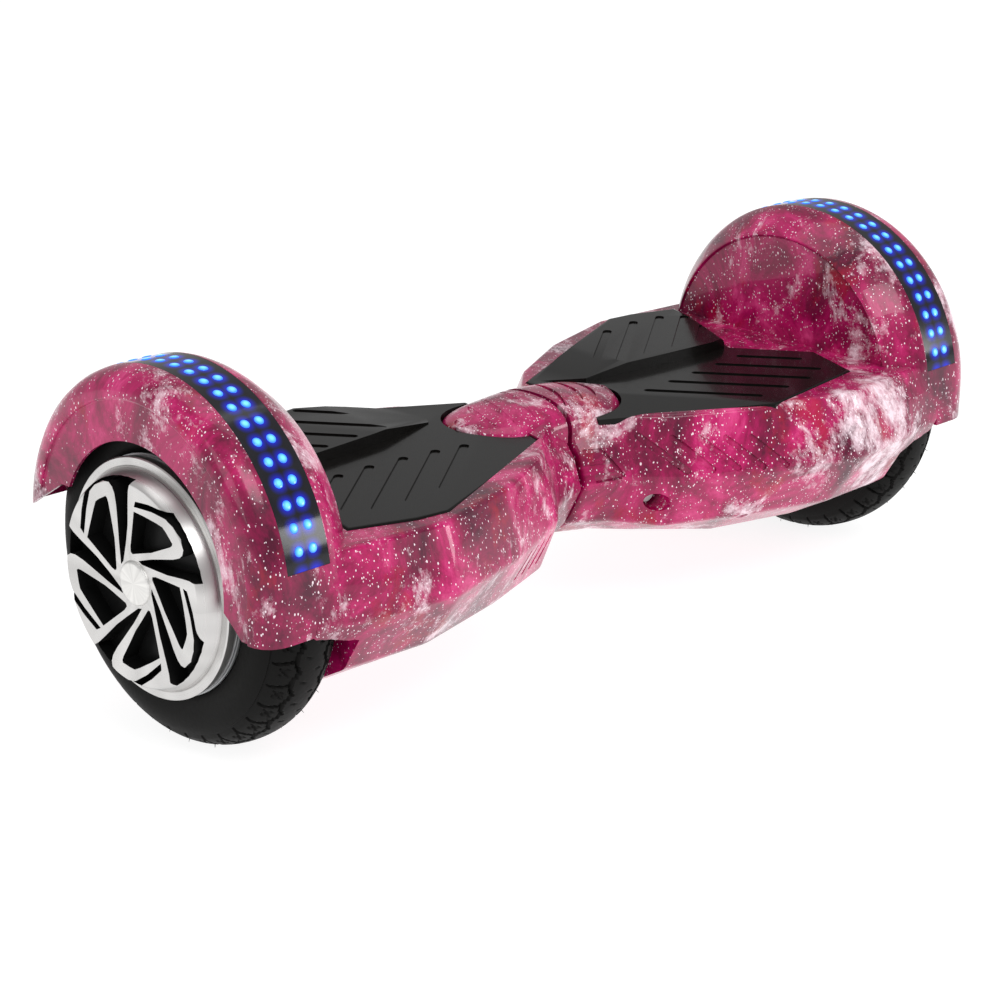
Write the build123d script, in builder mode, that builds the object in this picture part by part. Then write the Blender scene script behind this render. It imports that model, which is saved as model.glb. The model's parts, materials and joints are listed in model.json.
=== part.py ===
from build123d import *
import os
from math import cos, radians, sin

# Self-balancing two-wheel board. X runs along the axles, -Y is the front, Z is up from the floor.
# Each half is drawn with its wheel towards +X, and the left half is then turned half round about Z.
# The foot pads, recesses and screws turn with it, and the fender skirts face the front on both.

os.makedirs("parts", exist_ok=True)

# Wheel
WHEEL_R = 100.0
TYRE_HALF_W = 25.0
WHEEL_X = 256.0
RIM_R = 66.0
RIM_LIP_R = 67.2
DRUM_BORE_R = 57.0
MAGNET_T = 4.5
AIR_GAP = 0.6
STATOR_LEN = 26.0
COIL_OVERHANG = 5.0
TEETH = 18
TOOTH_W = 5.0
SPOKES = 5
SPOKE_OUTLINE = [(8, -7), (40, -20), (60, -13), (61, 7), (36, 10), (9, 5)]
SPOKE_WINDOW = [(20, -6), (40, -13), (53, -8), (54, 3), (34, 4)]
SPOKE_PROUD = 1.5
BEAD_IN = 3.0
FLANK_DEPTH = 22.0
LIP_T = 1.5
COVER_T = 3.0
LIP_PROUD = 8.2
CAP_R = 12.65
CAP_PROUD = 18.2
AXLE_R = 6.0
AXLE_ROOT_R = 8.0
BEARING_R = 13.0
BEARING_W = 8.0
BOSS_WALL = 3.0
BOSS_PROUD = 3.5
CAP_ROUND = 2.0

# Clearances
RUN_FIT = 0.05
SEAT_FIT = 0.02
AIR = 0.3
SIDE_GAP = 1.5
SKIRT_GAP = 2.0

# Shells, with heights counted from the axle line
WALL = 2.5
FENDER_WALL = 3.0
FENDER_RISE = 11.0
FENDER_OUT = 39.0
FENDER_EDGE_R = 5.0
FENDER_ROUND_R = 11.0
ARCH_R = 69.0
ARCH_RISE = 7.6
ARCH_FLARE = 14.0
TAIL_TIP_IN = 8.0
HALF_GAP = 1.75
SEAM_DROP = 5.5
DECK_RISE = 32.5
SKIRT_DROP = 9.5
TAIL_RISE = 18.5
WING_OUT = 6.0
TAIL_WING_IN = 10.0

# Places that follow the wheel
AXLE_Z = WHEEL_R
FENDER_FACE_X = WHEEL_X + FENDER_OUT
WING_X = WHEEL_X + WING_OUT
TAIL_WING_X = WHEEL_X - TAIL_WING_IN
BAY_X = WHEEL_X - TYRE_HALF_W - SIDE_GAP
BAY_WALL_X = BAY_X - FENDER_WALL

# Cross-sections of the body: distance from the middle, then half width and height of the
# bottom, lower bend, crease, shoulder and top corners
STATIONS = [
    (0.0, (12, -43.5), (30, -31), (44.6, -SEAM_DROP), (38, 12.5), (14, 40)),
    (30.0, (18, -46), (41, -34), (53, -SEAM_DROP), (48, 15), (39, DECK_RISE)),
    (54.0, (30, -49), (62, -38), (76, -SEAM_DROP), (70, 14), (61, DECK_RISE)),
    (108.0, (50, -57), (80, -39), (100, -SEAM_DROP), (95, 14), (89, DECK_RISE)),
    (171.0, (60, -59.5), (92, -42), (119, -SEAM_DROP), (114, 14), (107, DECK_RISE)),
    (BAY_WALL_X - 8.5, (60, -59.5), (90, -42), (114, -SEAM_DROP), (110, 14), (103, DECK_RISE)),
    (TAIL_WING_X, (58, -58), (89, -41), (107.5, -SEAM_DROP), (106, 14), (101, DECK_RISE)),
    (WING_X, (54, -54), (86, -38), (106, -SEAM_DROP), (104, 14), (99, DECK_RISE)),
]

# Foot pad, seen from above
PAD_OUTLINE = [(20, -36), (116, -92), (204, -79), (219, -37), (186, 6), (214, 58),
               (220, 82), (181, 95), (160, 97), (35, 41)]
RAISED_OUTLINE = {"right": [(40, 38), (62, 15), (114, 10), (169, 6), (183, 8), (207, 58),
                  (213, 78), (180, 89), (160, 91), (46, 41)],
                  "left": [(54, -38), (66, -20), (114, -13), (172, -8), (186, -5), (211, -38),
                           (199, -72), (117, -84), (60, -51)]}
PAD_CLEAR = 0.8
PAD_T = 6.0
PAD_RAISE = 8.5
PAD_DROP = 1.0
PAD_TRAVEL = 1.5
PAD_BEVEL = 3.0
TRAY_T = 2.5
TONGUE_NOSE_X = 62.0
TONGUE_HALF_W = 31.0
TONGUE_RISE = 4.0
RIDGE_W = 1.5
RIDGE_DEPTH = 1.0
RIDGES = 4
RIDGE_PITCH = 22.0
RIDGE_FIRST = (115.0, 46.0)
RIDGE_LEN = 60.0
RIDGE_TURN = 37.0
GROOVES = 4
GROOVE_PITCH = 25.0
GROOVE_FIRST = (109.0, -45.0)
GROOVE_LEN = 68.0
GROOVE_TURN = -52.0
POST_SPOTS = [(112, 26), (158, 26), (112, -26), (158, -26)]
POST_R = 4.0

# Light strip
LED_X = WHEEL_X + 9.0
LED_W = 28.6
LED_START = 9.5
LED_END = 147.0
LED_FIRST = 15.4
LED_PITCH = 6.65
LED_ROWS = 20
LED_LENS_R = 2.8
LED_SPACING = 9.3
LED_PANEL_T = 1.0
LED_BOARD_T = 0.4
LED_EDGE = 0.1

# Frame, pivot and electrics
PLATE_DROP = 12.0
PLATE_T = 4.0
PLATE_HALF_W = 46.0
RAIL_H = 14.0
RAIL_T = 4.0
BULKHEAD_IN = 6.0
BULKHEAD_RISE = 8.0
HUB_WALL = 4.5
HUB_END_X = 66.0
BULKHEAD_T = 8.0
TUBE_R = 12.0
TUBE_BORE_R = 9.0
BUSH_T = 2.5
BUSH_LEN = 18.0
NUT_T = 6.0
NUT_WALL = 6.0
CLAMP_LEN = 18.0
CLAMP_HALF_W = 20.0
CLAMP_H = 14.0
CLAMP_BEVEL = 4.0
CLAMP_SCREW_IN = 4.5
CLAMP_SCREW_Y = 14.0
CLAMP_HEAD_R = 2.8
SCREW_R = 1.5
SCREW_HEAD_R = 3.2
SCREW_HEAD_T = 2.6
SCREW_SEAT = 12.0
SCREW_END_RISE = 6.0
POST_COLUMN_R = 5.2
FRAME_SCREWS = [(80, 34), (80, -34), (197, 34), (197, -34)]
RIM_SCREWS = [(108, 76), (108, -76), (BAY_WALL_X - 21.5, 84), (BAY_WALL_X - 21.5, -84)]
BATTERY = (92.0, 70.0, 34.0)
BATTERY_X = 139.0
BOARD = (100.0, 66.0, 1.8)
BOARD_DROP = 34.0
PILLAR_X = 45.0
PILLAR_Y = 28.0
STRAP_T = 1.2
STRAP_W = 20.0
STRAP_FIT = 0.1
HEAT_SINK = (64.0, 10.0, 12.0)
HEAT_SINK_SPOT = (4.0, 20.0)
CAPACITORS = 4
CAPACITOR_R = 5.0
CAPACITOR_PITCH = 14.0
CAPACITOR_SPOT = (20.0, -20.0)
BOARD_PLUG = (12.0, 14.0, 7.0)
SENSOR_BOARD = (84.0, 68.0, 1.6)
SENSOR_X = 135.0
SENSOR_RISE = 12.0
STANDOFF_R = 3.0
STANDOFF_X = 38.0
STANDOFF_Y = 30.0
GATE = (7.0, 10.0, 5.0)
PLUNGER_AIR = 1.2
CABLE_R = 2.5
HARNESS_R = 3.0
PLUG_T = 5.0
PLUG = (26.0, 12.0)
SOCKET = (30.0, 14.0)
SOCKET_LEN = 10.0
LEAD_SLOT = (100.0, 18.0)
MOTOR_SLOT_X = 176.0
LEAD_Y = 8.0
SLOT_R = 9.0

# Power button and charging port, in matching recesses
PORT_X = 46.0
PORT_R = 6.4
PORT_TILT = 18.0
BUTTON_SINK = 13.0
BUTTON_R = 4.6
BUTTON_T = 4.0
BUTTON_TRAVEL = 1.0
BEZEL_T = 2.0
SOCKET_SINK = 17.0
SOCKET_R = 4.8
SOCKET_DEEP = 8.0
SOCKET_FLOOR_T = 1.0

# Worked out from the sizes above
SEAM_Z = AXLE_Z - SEAM_DROP
DECK_Z = AXLE_Z + DECK_RISE
FENDER_Z = AXLE_Z + FENDER_RISE
FENDER_R = WHEEL_R + SKIRT_GAP + FENDER_WALL
BAY_R = FENDER_R - FENDER_WALL
RIM_OUT_X = WHEEL_X + TYRE_HALF_W
LIP_X = RIM_OUT_X + LIP_PROUD
CAP_X = RIM_OUT_X + CAP_PROUD
DRUM_IN_X = WHEEL_X - TYRE_HALF_W + 1.0
POCKET_Z = DECK_Z - PAD_DROP - PAD_T - PAD_TRAVEL - AIR
PAD_UNDER_Z = POCKET_Z + PAD_TRAVEL + AIR
PAD_TOP_Z = DECK_Z - PAD_DROP
PLATE_TOP_Z = AXLE_Z - PLATE_DROP
PLATE_Z = PLATE_TOP_Z - PLATE_T
HUB_R = TUBE_R + BUSH_T + HUB_WALL
NUT_R = TUBE_R + NUT_WALL
FRAME_END_X = BAY_WALL_X - 1.0
CLAMP_X = FRAME_END_X - CLAMP_LEN
LED_BED_R = FENDER_R - LED_PANEL_T - LED_BOARD_T
MAGNET_BORE_R = DRUM_BORE_R - SEAT_FIT - MAGNET_T
STATOR_R = MAGNET_BORE_R - AIR_GAP
SENSOR_Z = AXLE_Z + SENSOR_RISE
SENSOR_TOP_Z = SENSOR_Z + SENSOR_BOARD[2]
BOARD_Z = AXLE_Z - BOARD_DROP
BATTERY_Z = PLATE_Z - AIR - BATTERY[2]
SIDES = [("right", 0, -1), ("left", 180, 1)]
EVER = 400.0


def corner_at(x, row):
    """Half width and height of one corner of the cross-section at a distance x from the middle."""
    for near, far in zip(STATIONS, STATIONS[1:]):
        if near[0] <= x <= far[0]:
            share = (x - near[0]) / (far[0] - near[0])
            return tuple(a + share * (b - a) for a, b in zip(near[row], far[row]))
    return STATIONS[-1][row]


def section_points(x, inset):
    """The ten corners of the body's cross-section at x, moved inwards by a wall."""
    rises = (1.0, 0.5, 0.0, -0.2, -1.0)
    right = []
    for row, rise in zip(range(1, 6), rises):
        width, height = corner_at(x, row)
        right.append((width - inset * 1.1, AXLE_Z + height + inset * rise))
    return right + [(-y, z) for y, z in reversed(right)]


def body_form(start, end, inset=0.0):
    """The solid form of the body between two cross-sections."""
    middle = [row[0] for row in STATIONS if start < row[0] < end]
    with BuildPart() as form:
        for x in [start] + middle + [end]:
            with BuildSketch(Plane.YZ.offset(x)):
                Polygon(*section_points(x, inset), align=None)
        loft(ruled=True)
    return form.part


def bay_profile(radius, bottom):
    """A round top with straight sides, down to a level bottom."""
    with BuildSketch(Plane.YZ) as profile:
        with Locations((0, FENDER_Z)):
            Circle(radius)
        with Locations((0, FENDER_Z)):
            Rectangle(2 * radius, FENDER_Z - bottom, align=(Align.CENTER, Align.MAX))
    return profile.sketch


def rounded_bay(x, length, radius, bottom, inner_round, outer_round):
    """A fender-shaped block whose two rims are rounded."""
    with BuildPart() as block:
        add(bay_profile(radius, bottom).moved(Location((x, 0, 0))))
        extrude(amount=length, dir=(1, 0, 0))
        faces = block.faces().sort_by(Axis.X)
        keep = bottom + 1.0
        fillet([e for e in faces[0].edges() if e.center().Z > keep], inner_round)
        faces = block.faces().sort_by(Axis.X)
        fillet([e for e in faces[-1].edges() if e.center().Z > keep], outer_round)
    return block.part


def wheel_bay():
    """The hollow that the wheel turns in."""
    return rounded_bay(BAY_X, FENDER_FACE_X - FENDER_WALL - BAY_X, BAY_R, -20.0,
                       FENDER_ROUND_R - FENDER_WALL, 2.0)


def fender(front):
    """The wheel guard with its arch, its long front skirt and its short tail."""
    bottom = AXLE_Z - SKIRT_DROP
    with BuildPart() as guard:
        add(rounded_bay(BAY_WALL_X, FENDER_FACE_X - BAY_WALL_X, FENDER_R, bottom - 20.0,
                        FENDER_ROUND_R, FENDER_EDGE_R))
        with BuildSketch(Plane.YZ.offset(BAY_WALL_X - 1.0)):
            with Locations((0, bottom)):
                Rectangle(EVER, EVER, align=(Align.CENTER, Align.MAX))
        extrude(amount=EVER, mode=Mode.SUBTRACT)
        with BuildSketch(Plane.YZ.offset(BAY_WALL_X - 1.0)):
            with Locations((0, SEAM_Z)):
                Rectangle(EVER, EVER, align=(Align.CENTER, Align.MAX))
        extrude(amount=WING_X - BAY_WALL_X + 1.0, mode=Mode.SUBTRACT)
        tail_z = AXLE_Z + TAIL_RISE
        with BuildSketch(Plane.YZ.offset(TAIL_WING_X)):
            Polygon((0, 0), (0, tail_z + TAIL_RISE), (-front * ARCH_R, tail_z + TAIL_RISE),
                    (-front * (FENDER_R - TAIL_TIP_IN), tail_z),
                    (-front * EVER, tail_z - TAIL_TIP_IN), (-front * EVER, 0), align=None)
        extrude(amount=EVER, mode=Mode.SUBTRACT)
        with BuildSketch(Plane.YZ.offset(FENDER_FACE_X - FENDER_WALL - 1.0)):
            with Locations((0, AXLE_Z + ARCH_RISE)):
                Circle(ARCH_R)
            Polygon((0, 0), (0, AXLE_Z + ARCH_RISE), (front * (ARCH_R - 7), AXLE_Z + ARCH_RISE),
                    (front * (ARCH_R + ARCH_FLARE), bottom), (front * (ARCH_R + ARCH_FLARE), 0),
                    align=None)
        extrude(amount=EVER, mode=Mode.SUBTRACT)
    return guard.part


def pad_plan(points, inset):
    """A plan outline of the pad with the pivot tongue cut out of it."""
    with BuildSketch(Plane.XY) as plan:
        Polygon(*points, align=None)
        offset(amount=-inset, kind=Kind.INTERSECTION)
        add(tongue_plan(inset), mode=Mode.SUBTRACT)
    return plan.sketch


def tongue_plan(grow):
    """The bullet-nosed plan of the hump over the pivot."""
    shoulder_x = TONGUE_NOSE_X - TONGUE_HALF_W
    with BuildSketch(Plane.XY) as plan:
        with BuildLine():
            nose = Polyline((HALF_GAP, -TONGUE_HALF_W), (shoulder_x, -TONGUE_HALF_W))
            round_nose = RadiusArc(nose @ 1, (shoulder_x, TONGUE_HALF_W), -TONGUE_HALF_W)
            Polyline(round_nose @ 1, (HALF_GAP, TONGUE_HALF_W), nose @ 0)
        make_face()
        if grow > 0:
            offset(amount=grow)
    return plan.sketch


def column(spots, radius, low, high):
    """Round posts or holes at a list of plan positions."""
    with BuildPart() as posts:
        with BuildSketch(Plane.XY.offset(low)):
            with Locations(*spots):
                Circle(radius)
        extrude(amount=high - low)
    return posts.part


def x_rod(radius, start, end, y=0.0, z=AXLE_Z):
    """A round bar along X."""
    with BuildPart() as rod:
        with BuildSketch(Plane.YZ.offset(start)):
            with Locations((y, z)):
                Circle(radius)
        extrude(amount=end - start)
    return rod.part


def port_plane(sink):
    """The plane across the recess, a depth sink behind the mouth of the hole."""
    out = Vector(0, -cos(radians(PORT_TILT)), -sin(radians(PORT_TILT)))
    low, crease = corner_at(PORT_X, 2), corner_at(PORT_X, 3)
    mouth = Vector(PORT_X, -(low[0] + crease[0]) / 2, AXLE_Z + (low[1] + crease[1]) / 2)
    return Plane(origin=mouth - out * sink, x_dir=(1, 0, 0), z_dir=out)


def port_rod(radius, sink, length, bore=0.0):
    """A bar or ring on the recess axis, from a depth sink outwards."""
    with BuildPart() as rod:
        with BuildSketch(port_plane(sink)):
            Circle(radius)
            if bore > 0:
                Circle(bore, mode=Mode.SUBTRACT)
        extrude(amount=length)
    return rod.part


def cut_below(part, z):
    """What is left of a part above a level."""
    return split(part, bisect_by=Plane.XY.offset(z), keep=Keep.TOP)


def place(part, turn, name):
    """Turns a right-hand piece to its own side, names it and writes it."""
    placed = part.rotate(Axis.Z, turn)
    placed.label = name
    export_step(placed, f"parts/{name}.step")


def arc_band(x, width, inner_r, outer_r, start, sweep):
    """A curved strip that follows the top of the fender."""
    with BuildPart() as band:
        with BuildSketch(Plane.YZ.offset(x)):
            with BuildLine():
                rim = CenterArc((0, FENDER_Z), outer_r, start, sweep)
                root = CenterArc((0, FENDER_Z), inner_r, start, sweep)
                Line(rim @ 0, root @ 0)
                Line(rim @ 1, root @ 1)
            make_face()
        extrude(amount=width)
    return band.part


def strip_start(front, inset=0.0):
    """Where the light strip's arc begins, counted from the +Y side."""
    return LED_START + inset if front > 0 else 180.0 - LED_END + inset


def lens_places(front):
    """The plane of each lamp lens, square to the fender."""
    places = []
    for row in range(LED_ROWS):
        angle = radians(LED_FIRST + row * LED_PITCH)
        out = Vector(0, front * cos(angle), sin(angle))
        for shift in (-LED_SPACING / 2, LED_SPACING / 2):
            spot = Vector(LED_X + shift, 0, FENDER_Z) + out * (LED_BED_R + LED_BOARD_T)
            places.append(Plane(origin=spot, x_dir=(1, 0, 0), z_dir=out))
    return places


def lens_group(front, radius, depth):
    """Short round bars at every lamp."""
    with BuildPart() as group:
        for plane in lens_places(front):
            with BuildSketch(plane):
                Circle(radius)
            extrude(amount=depth)
    return group.part


HOLLOW_END = BAY_WALL_X - AIR
hollow_form = body_form(HALF_GAP + WALL, HOLLOW_END, WALL)
outer_form = body_form(HALF_GAP, WING_X)
pivot_hole = x_rod(HUB_R + 1.0, 0.0, HALF_GAP + WALL + 1.0)
axle_hole = x_rod(AXLE_ROOT_R + 4.0, BAY_WALL_X - 2.0, BAY_X + 1.0)

for side, turn, front in SIDES:
    right = side == "right"
    port_sink = BUTTON_SINK if right else SOCKET_SINK
    recess = port_rod(PORT_R, port_sink, EVER / 4)
    recess_cup = port_rod(PORT_R + WALL, port_sink + WALL, EVER / 4)

    # Upper shell: deck, waist, fender and the tray under the pad
    with BuildPart() as upper_hollow:
        add(cut_below(hollow_form, SEAM_Z))
        with BuildSketch(Plane.XY.offset(POCKET_Z - TRAY_T)):
            add(pad_plan(PAD_OUTLINE, -WALL))
        extrude(amount=EVER, mode=Mode.SUBTRACT)
        add(column(FRAME_SCREWS, POST_COLUMN_R, PLATE_TOP_Z, DECK_Z), mode=Mode.SUBTRACT)
        add(column(RIM_SCREWS, POST_COLUMN_R, 0, DECK_Z), mode=Mode.SUBTRACT)
        add(recess_cup, mode=Mode.SUBTRACT)
    with BuildPart() as upper_shell:
        add(cut_below(outer_form, SEAM_Z))
        with BuildSketch(Plane.XY.offset(POCKET_Z - TRAY_T)):
            add(tongue_plan(0))
        extrude(amount=DECK_Z + TONGUE_RISE - POCKET_Z + TRAY_T)
        add(fender(front))
        add(upper_hollow.part, mode=Mode.SUBTRACT)
        add(wheel_bay(), mode=Mode.SUBTRACT)
        with BuildSketch(Plane.XY.offset(POCKET_Z)):
            add(pad_plan(PAD_OUTLINE, 0))
        extrude(amount=DECK_Z - POCKET_Z + 0.01, mode=Mode.SUBTRACT)
        add(arc_band(LED_X - LED_W / 2, LED_W, LED_BED_R, FENDER_R + 2,
                     strip_start(front), LED_END - LED_START), mode=Mode.SUBTRACT)
        add(column(POST_SPOTS, POST_R + AIR, 100, EVER), mode=Mode.SUBTRACT)
        add(column(FRAME_SCREWS + RIM_SCREWS, SCREW_R, 0, AXLE_Z + SCREW_END_RISE + 2), mode=Mode.SUBTRACT)
        add(pivot_hole, mode=Mode.SUBTRACT)
        add(axle_hole, mode=Mode.SUBTRACT)
        add(recess, mode=Mode.SUBTRACT)
    place(upper_shell.part, turn, f"{side}_upper_shell")

    # Lower shell: the belly, with screw columns
    with BuildPart() as lower_hollow:
        add(hollow_form)
        add(column(FRAME_SCREWS, POST_COLUMN_R, 0, PLATE_Z), mode=Mode.SUBTRACT)
        add(column(RIM_SCREWS, POST_COLUMN_R, 0, DECK_Z), mode=Mode.SUBTRACT)
        add(recess_cup, mode=Mode.SUBTRACT)
    with BuildPart() as lower_shell:
        add(split(outer_form, bisect_by=Plane.XY.offset(SEAM_Z), keep=Keep.BOTTOM))
        add(lower_hollow.part, mode=Mode.SUBTRACT)
        add(wheel_bay(), mode=Mode.SUBTRACT)
        with BuildSketch(Plane.YZ.offset(TAIL_WING_X)):
            with Locations((-front * EVER / 2, 0)):
                Rectangle(EVER, EVER)
        extrude(amount=EVER, mode=Mode.SUBTRACT)
        with BuildSketch(Plane.YZ.offset(BAY_X)):
            with Locations((0, AXLE_Z)):
                Rectangle(2 * BAY_R, EVER)
        extrude(amount=EVER, mode=Mode.SUBTRACT)
        for spots, seat in ((FRAME_SCREWS, PLATE_Z - SCREW_SEAT), (RIM_SCREWS, SEAM_Z - SCREW_SEAT)):
            add(column(spots, SCREW_R, 0, EVER), mode=Mode.SUBTRACT)
            add(column(spots, SCREW_HEAD_R + AIR, 0, seat), mode=Mode.SUBTRACT)
        add(pivot_hole, mode=Mode.SUBTRACT)
        add(axle_hole, mode=Mode.SUBTRACT)
        add(recess, mode=Mode.SUBTRACT)
    place(lower_shell.part, turn, f"{side}_lower_shell")

    # Screws that close the shells
    with BuildPart() as shell_screws:
        for spots, seat in ((FRAME_SCREWS, PLATE_Z - SCREW_SEAT), (RIM_SCREWS, SEAM_Z - SCREW_SEAT)):
            add(column(spots, SCREW_R - SEAT_FIT, seat, AXLE_Z + SCREW_END_RISE))
            add(column(spots, SCREW_HEAD_R, seat - SCREW_HEAD_T, seat))
    place(shell_screws.part, turn, f"{side}_shell_screws")

    # Foot pad: one moulding with a raised and a low tread
    with BuildPart() as foot_pad:
        with BuildSketch(Plane.XY.offset(PAD_UNDER_Z)):
            add(pad_plan(PAD_OUTLINE, PAD_CLEAR))
        extrude(amount=PAD_T)
        with BuildSketch(Plane.XY.offset(PAD_TOP_Z)):
            add(pad_plan(RAISED_OUTLINE[side], PAD_CLEAR))
        extrude(amount=PAD_RAISE)
        chamfer(foot_pad.faces().sort_by(Axis.Z)[-1].edges(), PAD_BEVEL)
        treads = [PAD_TOP_Z + PAD_RAISE, PAD_TOP_Z]
        ridge_z, groove_z = treads if front < 0 else reversed(treads)
        with BuildSketch(Plane.XY.offset(ridge_z - RIDGE_DEPTH)):
            for row in range(RIDGES):
                spot = (RIDGE_FIRST[0] + row * RIDGE_PITCH, RIDGE_FIRST[1])
                with Locations(Location(spot, RIDGE_TURN)):
                    Rectangle(RIDGE_LEN, RIDGE_W)
        extrude(amount=RIDGE_DEPTH + 1, mode=Mode.SUBTRACT)
        with BuildSketch(Plane.XY.offset(groove_z - RIDGE_DEPTH)):
            for row in range(GROOVES):
                spot = (GROOVE_FIRST[0] + row * GROOVE_PITCH, GROOVE_FIRST[1])
                with Locations(Location(spot, GROOVE_TURN)):
                    Rectangle(GROOVE_LEN, RIDGE_W)
        extrude(amount=RIDGE_DEPTH + 0.5, mode=Mode.SUBTRACT)
    place(foot_pad.part, turn, f"{side}_foot_pad")

    # Rubber plungers under the pad, over the light gates
    with BuildPart() as pad_plungers:
        add(column(POST_SPOTS, POST_R, SENSOR_TOP_Z + PAD_TRAVEL + PLUNGER_AIR, PAD_UNDER_Z))
    place(pad_plungers.part, turn, f"{side}_pad_plungers")

    # Sensor board on four standoffs of the frame, with a light gate beside each plunger
    with BuildPart() as sensor_board:
        with BuildSketch(Plane.XY.offset(SENSOR_Z)):
            with Locations((SENSOR_X, 0)):
                RectangleRounded(SENSOR_BOARD[0], SENSOR_BOARD[1], 3)
        extrude(amount=SENSOR_BOARD[2])
        with BuildSketch(Plane.XY.offset(SENSOR_TOP_Z)):
            with Locations(*[(x + POST_R * 3, y) for x, y in POST_SPOTS]):
                Rectangle(GATE[0], GATE[1])
        extrude(amount=GATE[2])
    place(sensor_board.part, turn, f"{side}_sensor_board")

    # Light strip on the fender: board, smoked panel and lamp lenses
    sweep_angle = LED_END - LED_START
    with BuildPart() as led_board:
        add(arc_band(LED_X - LED_W / 2 + LED_EDGE, LED_W - 2 * LED_EDGE, LED_BED_R + SEAT_FIT,
                     LED_BED_R + LED_BOARD_T - SEAT_FIT, strip_start(front, LED_EDGE),
                     sweep_angle - 2 * LED_EDGE))
    place(led_board.part, turn, f"{side}_led_board")

    with BuildPart() as led_panel:
        add(arc_band(LED_X - LED_W / 2 + LED_EDGE, LED_W - 2 * LED_EDGE, LED_BED_R + LED_BOARD_T,
                     FENDER_R, strip_start(front, LED_EDGE), sweep_angle - 2 * LED_EDGE))
        add(lens_group(front, LED_LENS_R + SEAT_FIT, 3.0), mode=Mode.SUBTRACT)
    place(led_panel.part, turn, f"{side}_led_panel")

    with BuildPart() as led_lenses:
        add(lens_group(front, LED_LENS_R, LED_PANEL_T))
    place(led_lenses.part, turn, f"{side}_led_lenses")

    # Cast frame: plate, rails, pivot hub, axle saddle and board standoffs
    bore_r = TUBE_R + BUSH_T + SEAT_FIT if right else TUBE_R + SEAT_FIT
    with BuildPart() as frame:
        plate_x = HUB_END_X - BULKHEAD_T
        with BuildSketch(Plane.XY.offset(PLATE_Z)):
            with Locations((plate_x, 0)):
                Rectangle(FRAME_END_X - plate_x, 2 * PLATE_HALF_W,
                          align=(Align.MIN, Align.CENTER))
        extrude(amount=PLATE_T)
        with BuildSketch(Plane.XY.offset(PLATE_TOP_Z)):
            with Locations((plate_x, PLATE_HALF_W - RAIL_T / 2),
                           (plate_x, RAIL_T / 2 - PLATE_HALF_W)):
                Rectangle(FRAME_END_X - plate_x, RAIL_T, align=(Align.MIN, Align.CENTER))
        extrude(amount=RAIL_H)
        with BuildSketch(Plane.YZ.offset(plate_x)):
            with Locations((0, PLATE_Z)):
                Rectangle(2 * (PLATE_HALF_W - BULKHEAD_IN), AXLE_Z + BULKHEAD_RISE - PLATE_Z,
                          align=(Align.CENTER, Align.MIN))
        extrude(amount=BULKHEAD_T)
        add(x_rod(HUB_R, HALF_GAP + 1.0, HUB_END_X))
        with BuildSketch(Plane.XY.offset(PLATE_TOP_Z)):
            with Locations((CLAMP_X, 0)):
                Rectangle(CLAMP_LEN, 2 * CLAMP_HALF_W, align=(Align.MIN, Align.CENTER))
        extrude(amount=AXLE_Z - AIR / 2 - PLATE_TOP_Z)
        standoffs = [(SENSOR_X + x, y) for x in (-STANDOFF_X, STANDOFF_X)
                     for y in (-STANDOFF_Y, STANDOFF_Y)]
        add(column(standoffs, STANDOFF_R, PLATE_TOP_Z, SENSOR_Z))
        add(x_rod(bore_r, 0, HUB_END_X), mode=Mode.SUBTRACT)
        add(x_rod(NUT_R + 1, HUB_END_X, HUB_END_X + NUT_T + 2), mode=Mode.SUBTRACT)
        add(x_rod(AXLE_ROOT_R + SEAT_FIT, CLAMP_X, EVER), mode=Mode.SUBTRACT)
        add(column(FRAME_SCREWS, SCREW_R + AIR, 0, PLATE_TOP_Z), mode=Mode.SUBTRACT)
        add(column([LEAD_SLOT, (MOTOR_SLOT_X, 0)], SLOT_R, 0, PLATE_TOP_Z), mode=Mode.SUBTRACT)
        clamp_spots = [(CLAMP_X + x, y) for x in (CLAMP_SCREW_IN, CLAMP_LEN - CLAMP_SCREW_IN)
                       for y in (-CLAMP_SCREW_Y, CLAMP_SCREW_Y)]
        add(column(clamp_spots, SCREW_R + SEAT_FIT, PLATE_TOP_Z, EVER), mode=Mode.SUBTRACT)
    place(frame.part, turn, f"{side}_frame")

    # Cap that clamps the axle, and its four screws
    clamp_top = AXLE_Z + CLAMP_H
    with BuildPart() as axle_clamp:
        with BuildSketch(Plane.XY.offset(AXLE_Z + AIR / 2)):
            with Locations((CLAMP_X, 0)):
                Rectangle(CLAMP_LEN, 2 * CLAMP_HALF_W, align=(Align.MIN, Align.CENTER))
        extrude(amount=CLAMP_H - AIR / 2)
        chamfer(axle_clamp.faces().sort_by(Axis.Z)[-1].edges().filter_by(Axis.X), CLAMP_BEVEL)
        add(x_rod(AXLE_ROOT_R + SEAT_FIT, 0, EVER), mode=Mode.SUBTRACT)
        add(column(clamp_spots, SCREW_R + SEAT_FIT, 0, EVER), mode=Mode.SUBTRACT)
    place(axle_clamp.part, turn, f"{side}_axle_clamp")

    with BuildPart() as clamp_screws:
        add(column(clamp_spots, SCREW_R, PLATE_TOP_Z + 1, clamp_top))
        add(column(clamp_spots, CLAMP_HEAD_R, clamp_top, clamp_top + SCREW_HEAD_T))
    place(clamp_screws.part, turn, f"{side}_clamp_screws")

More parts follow.
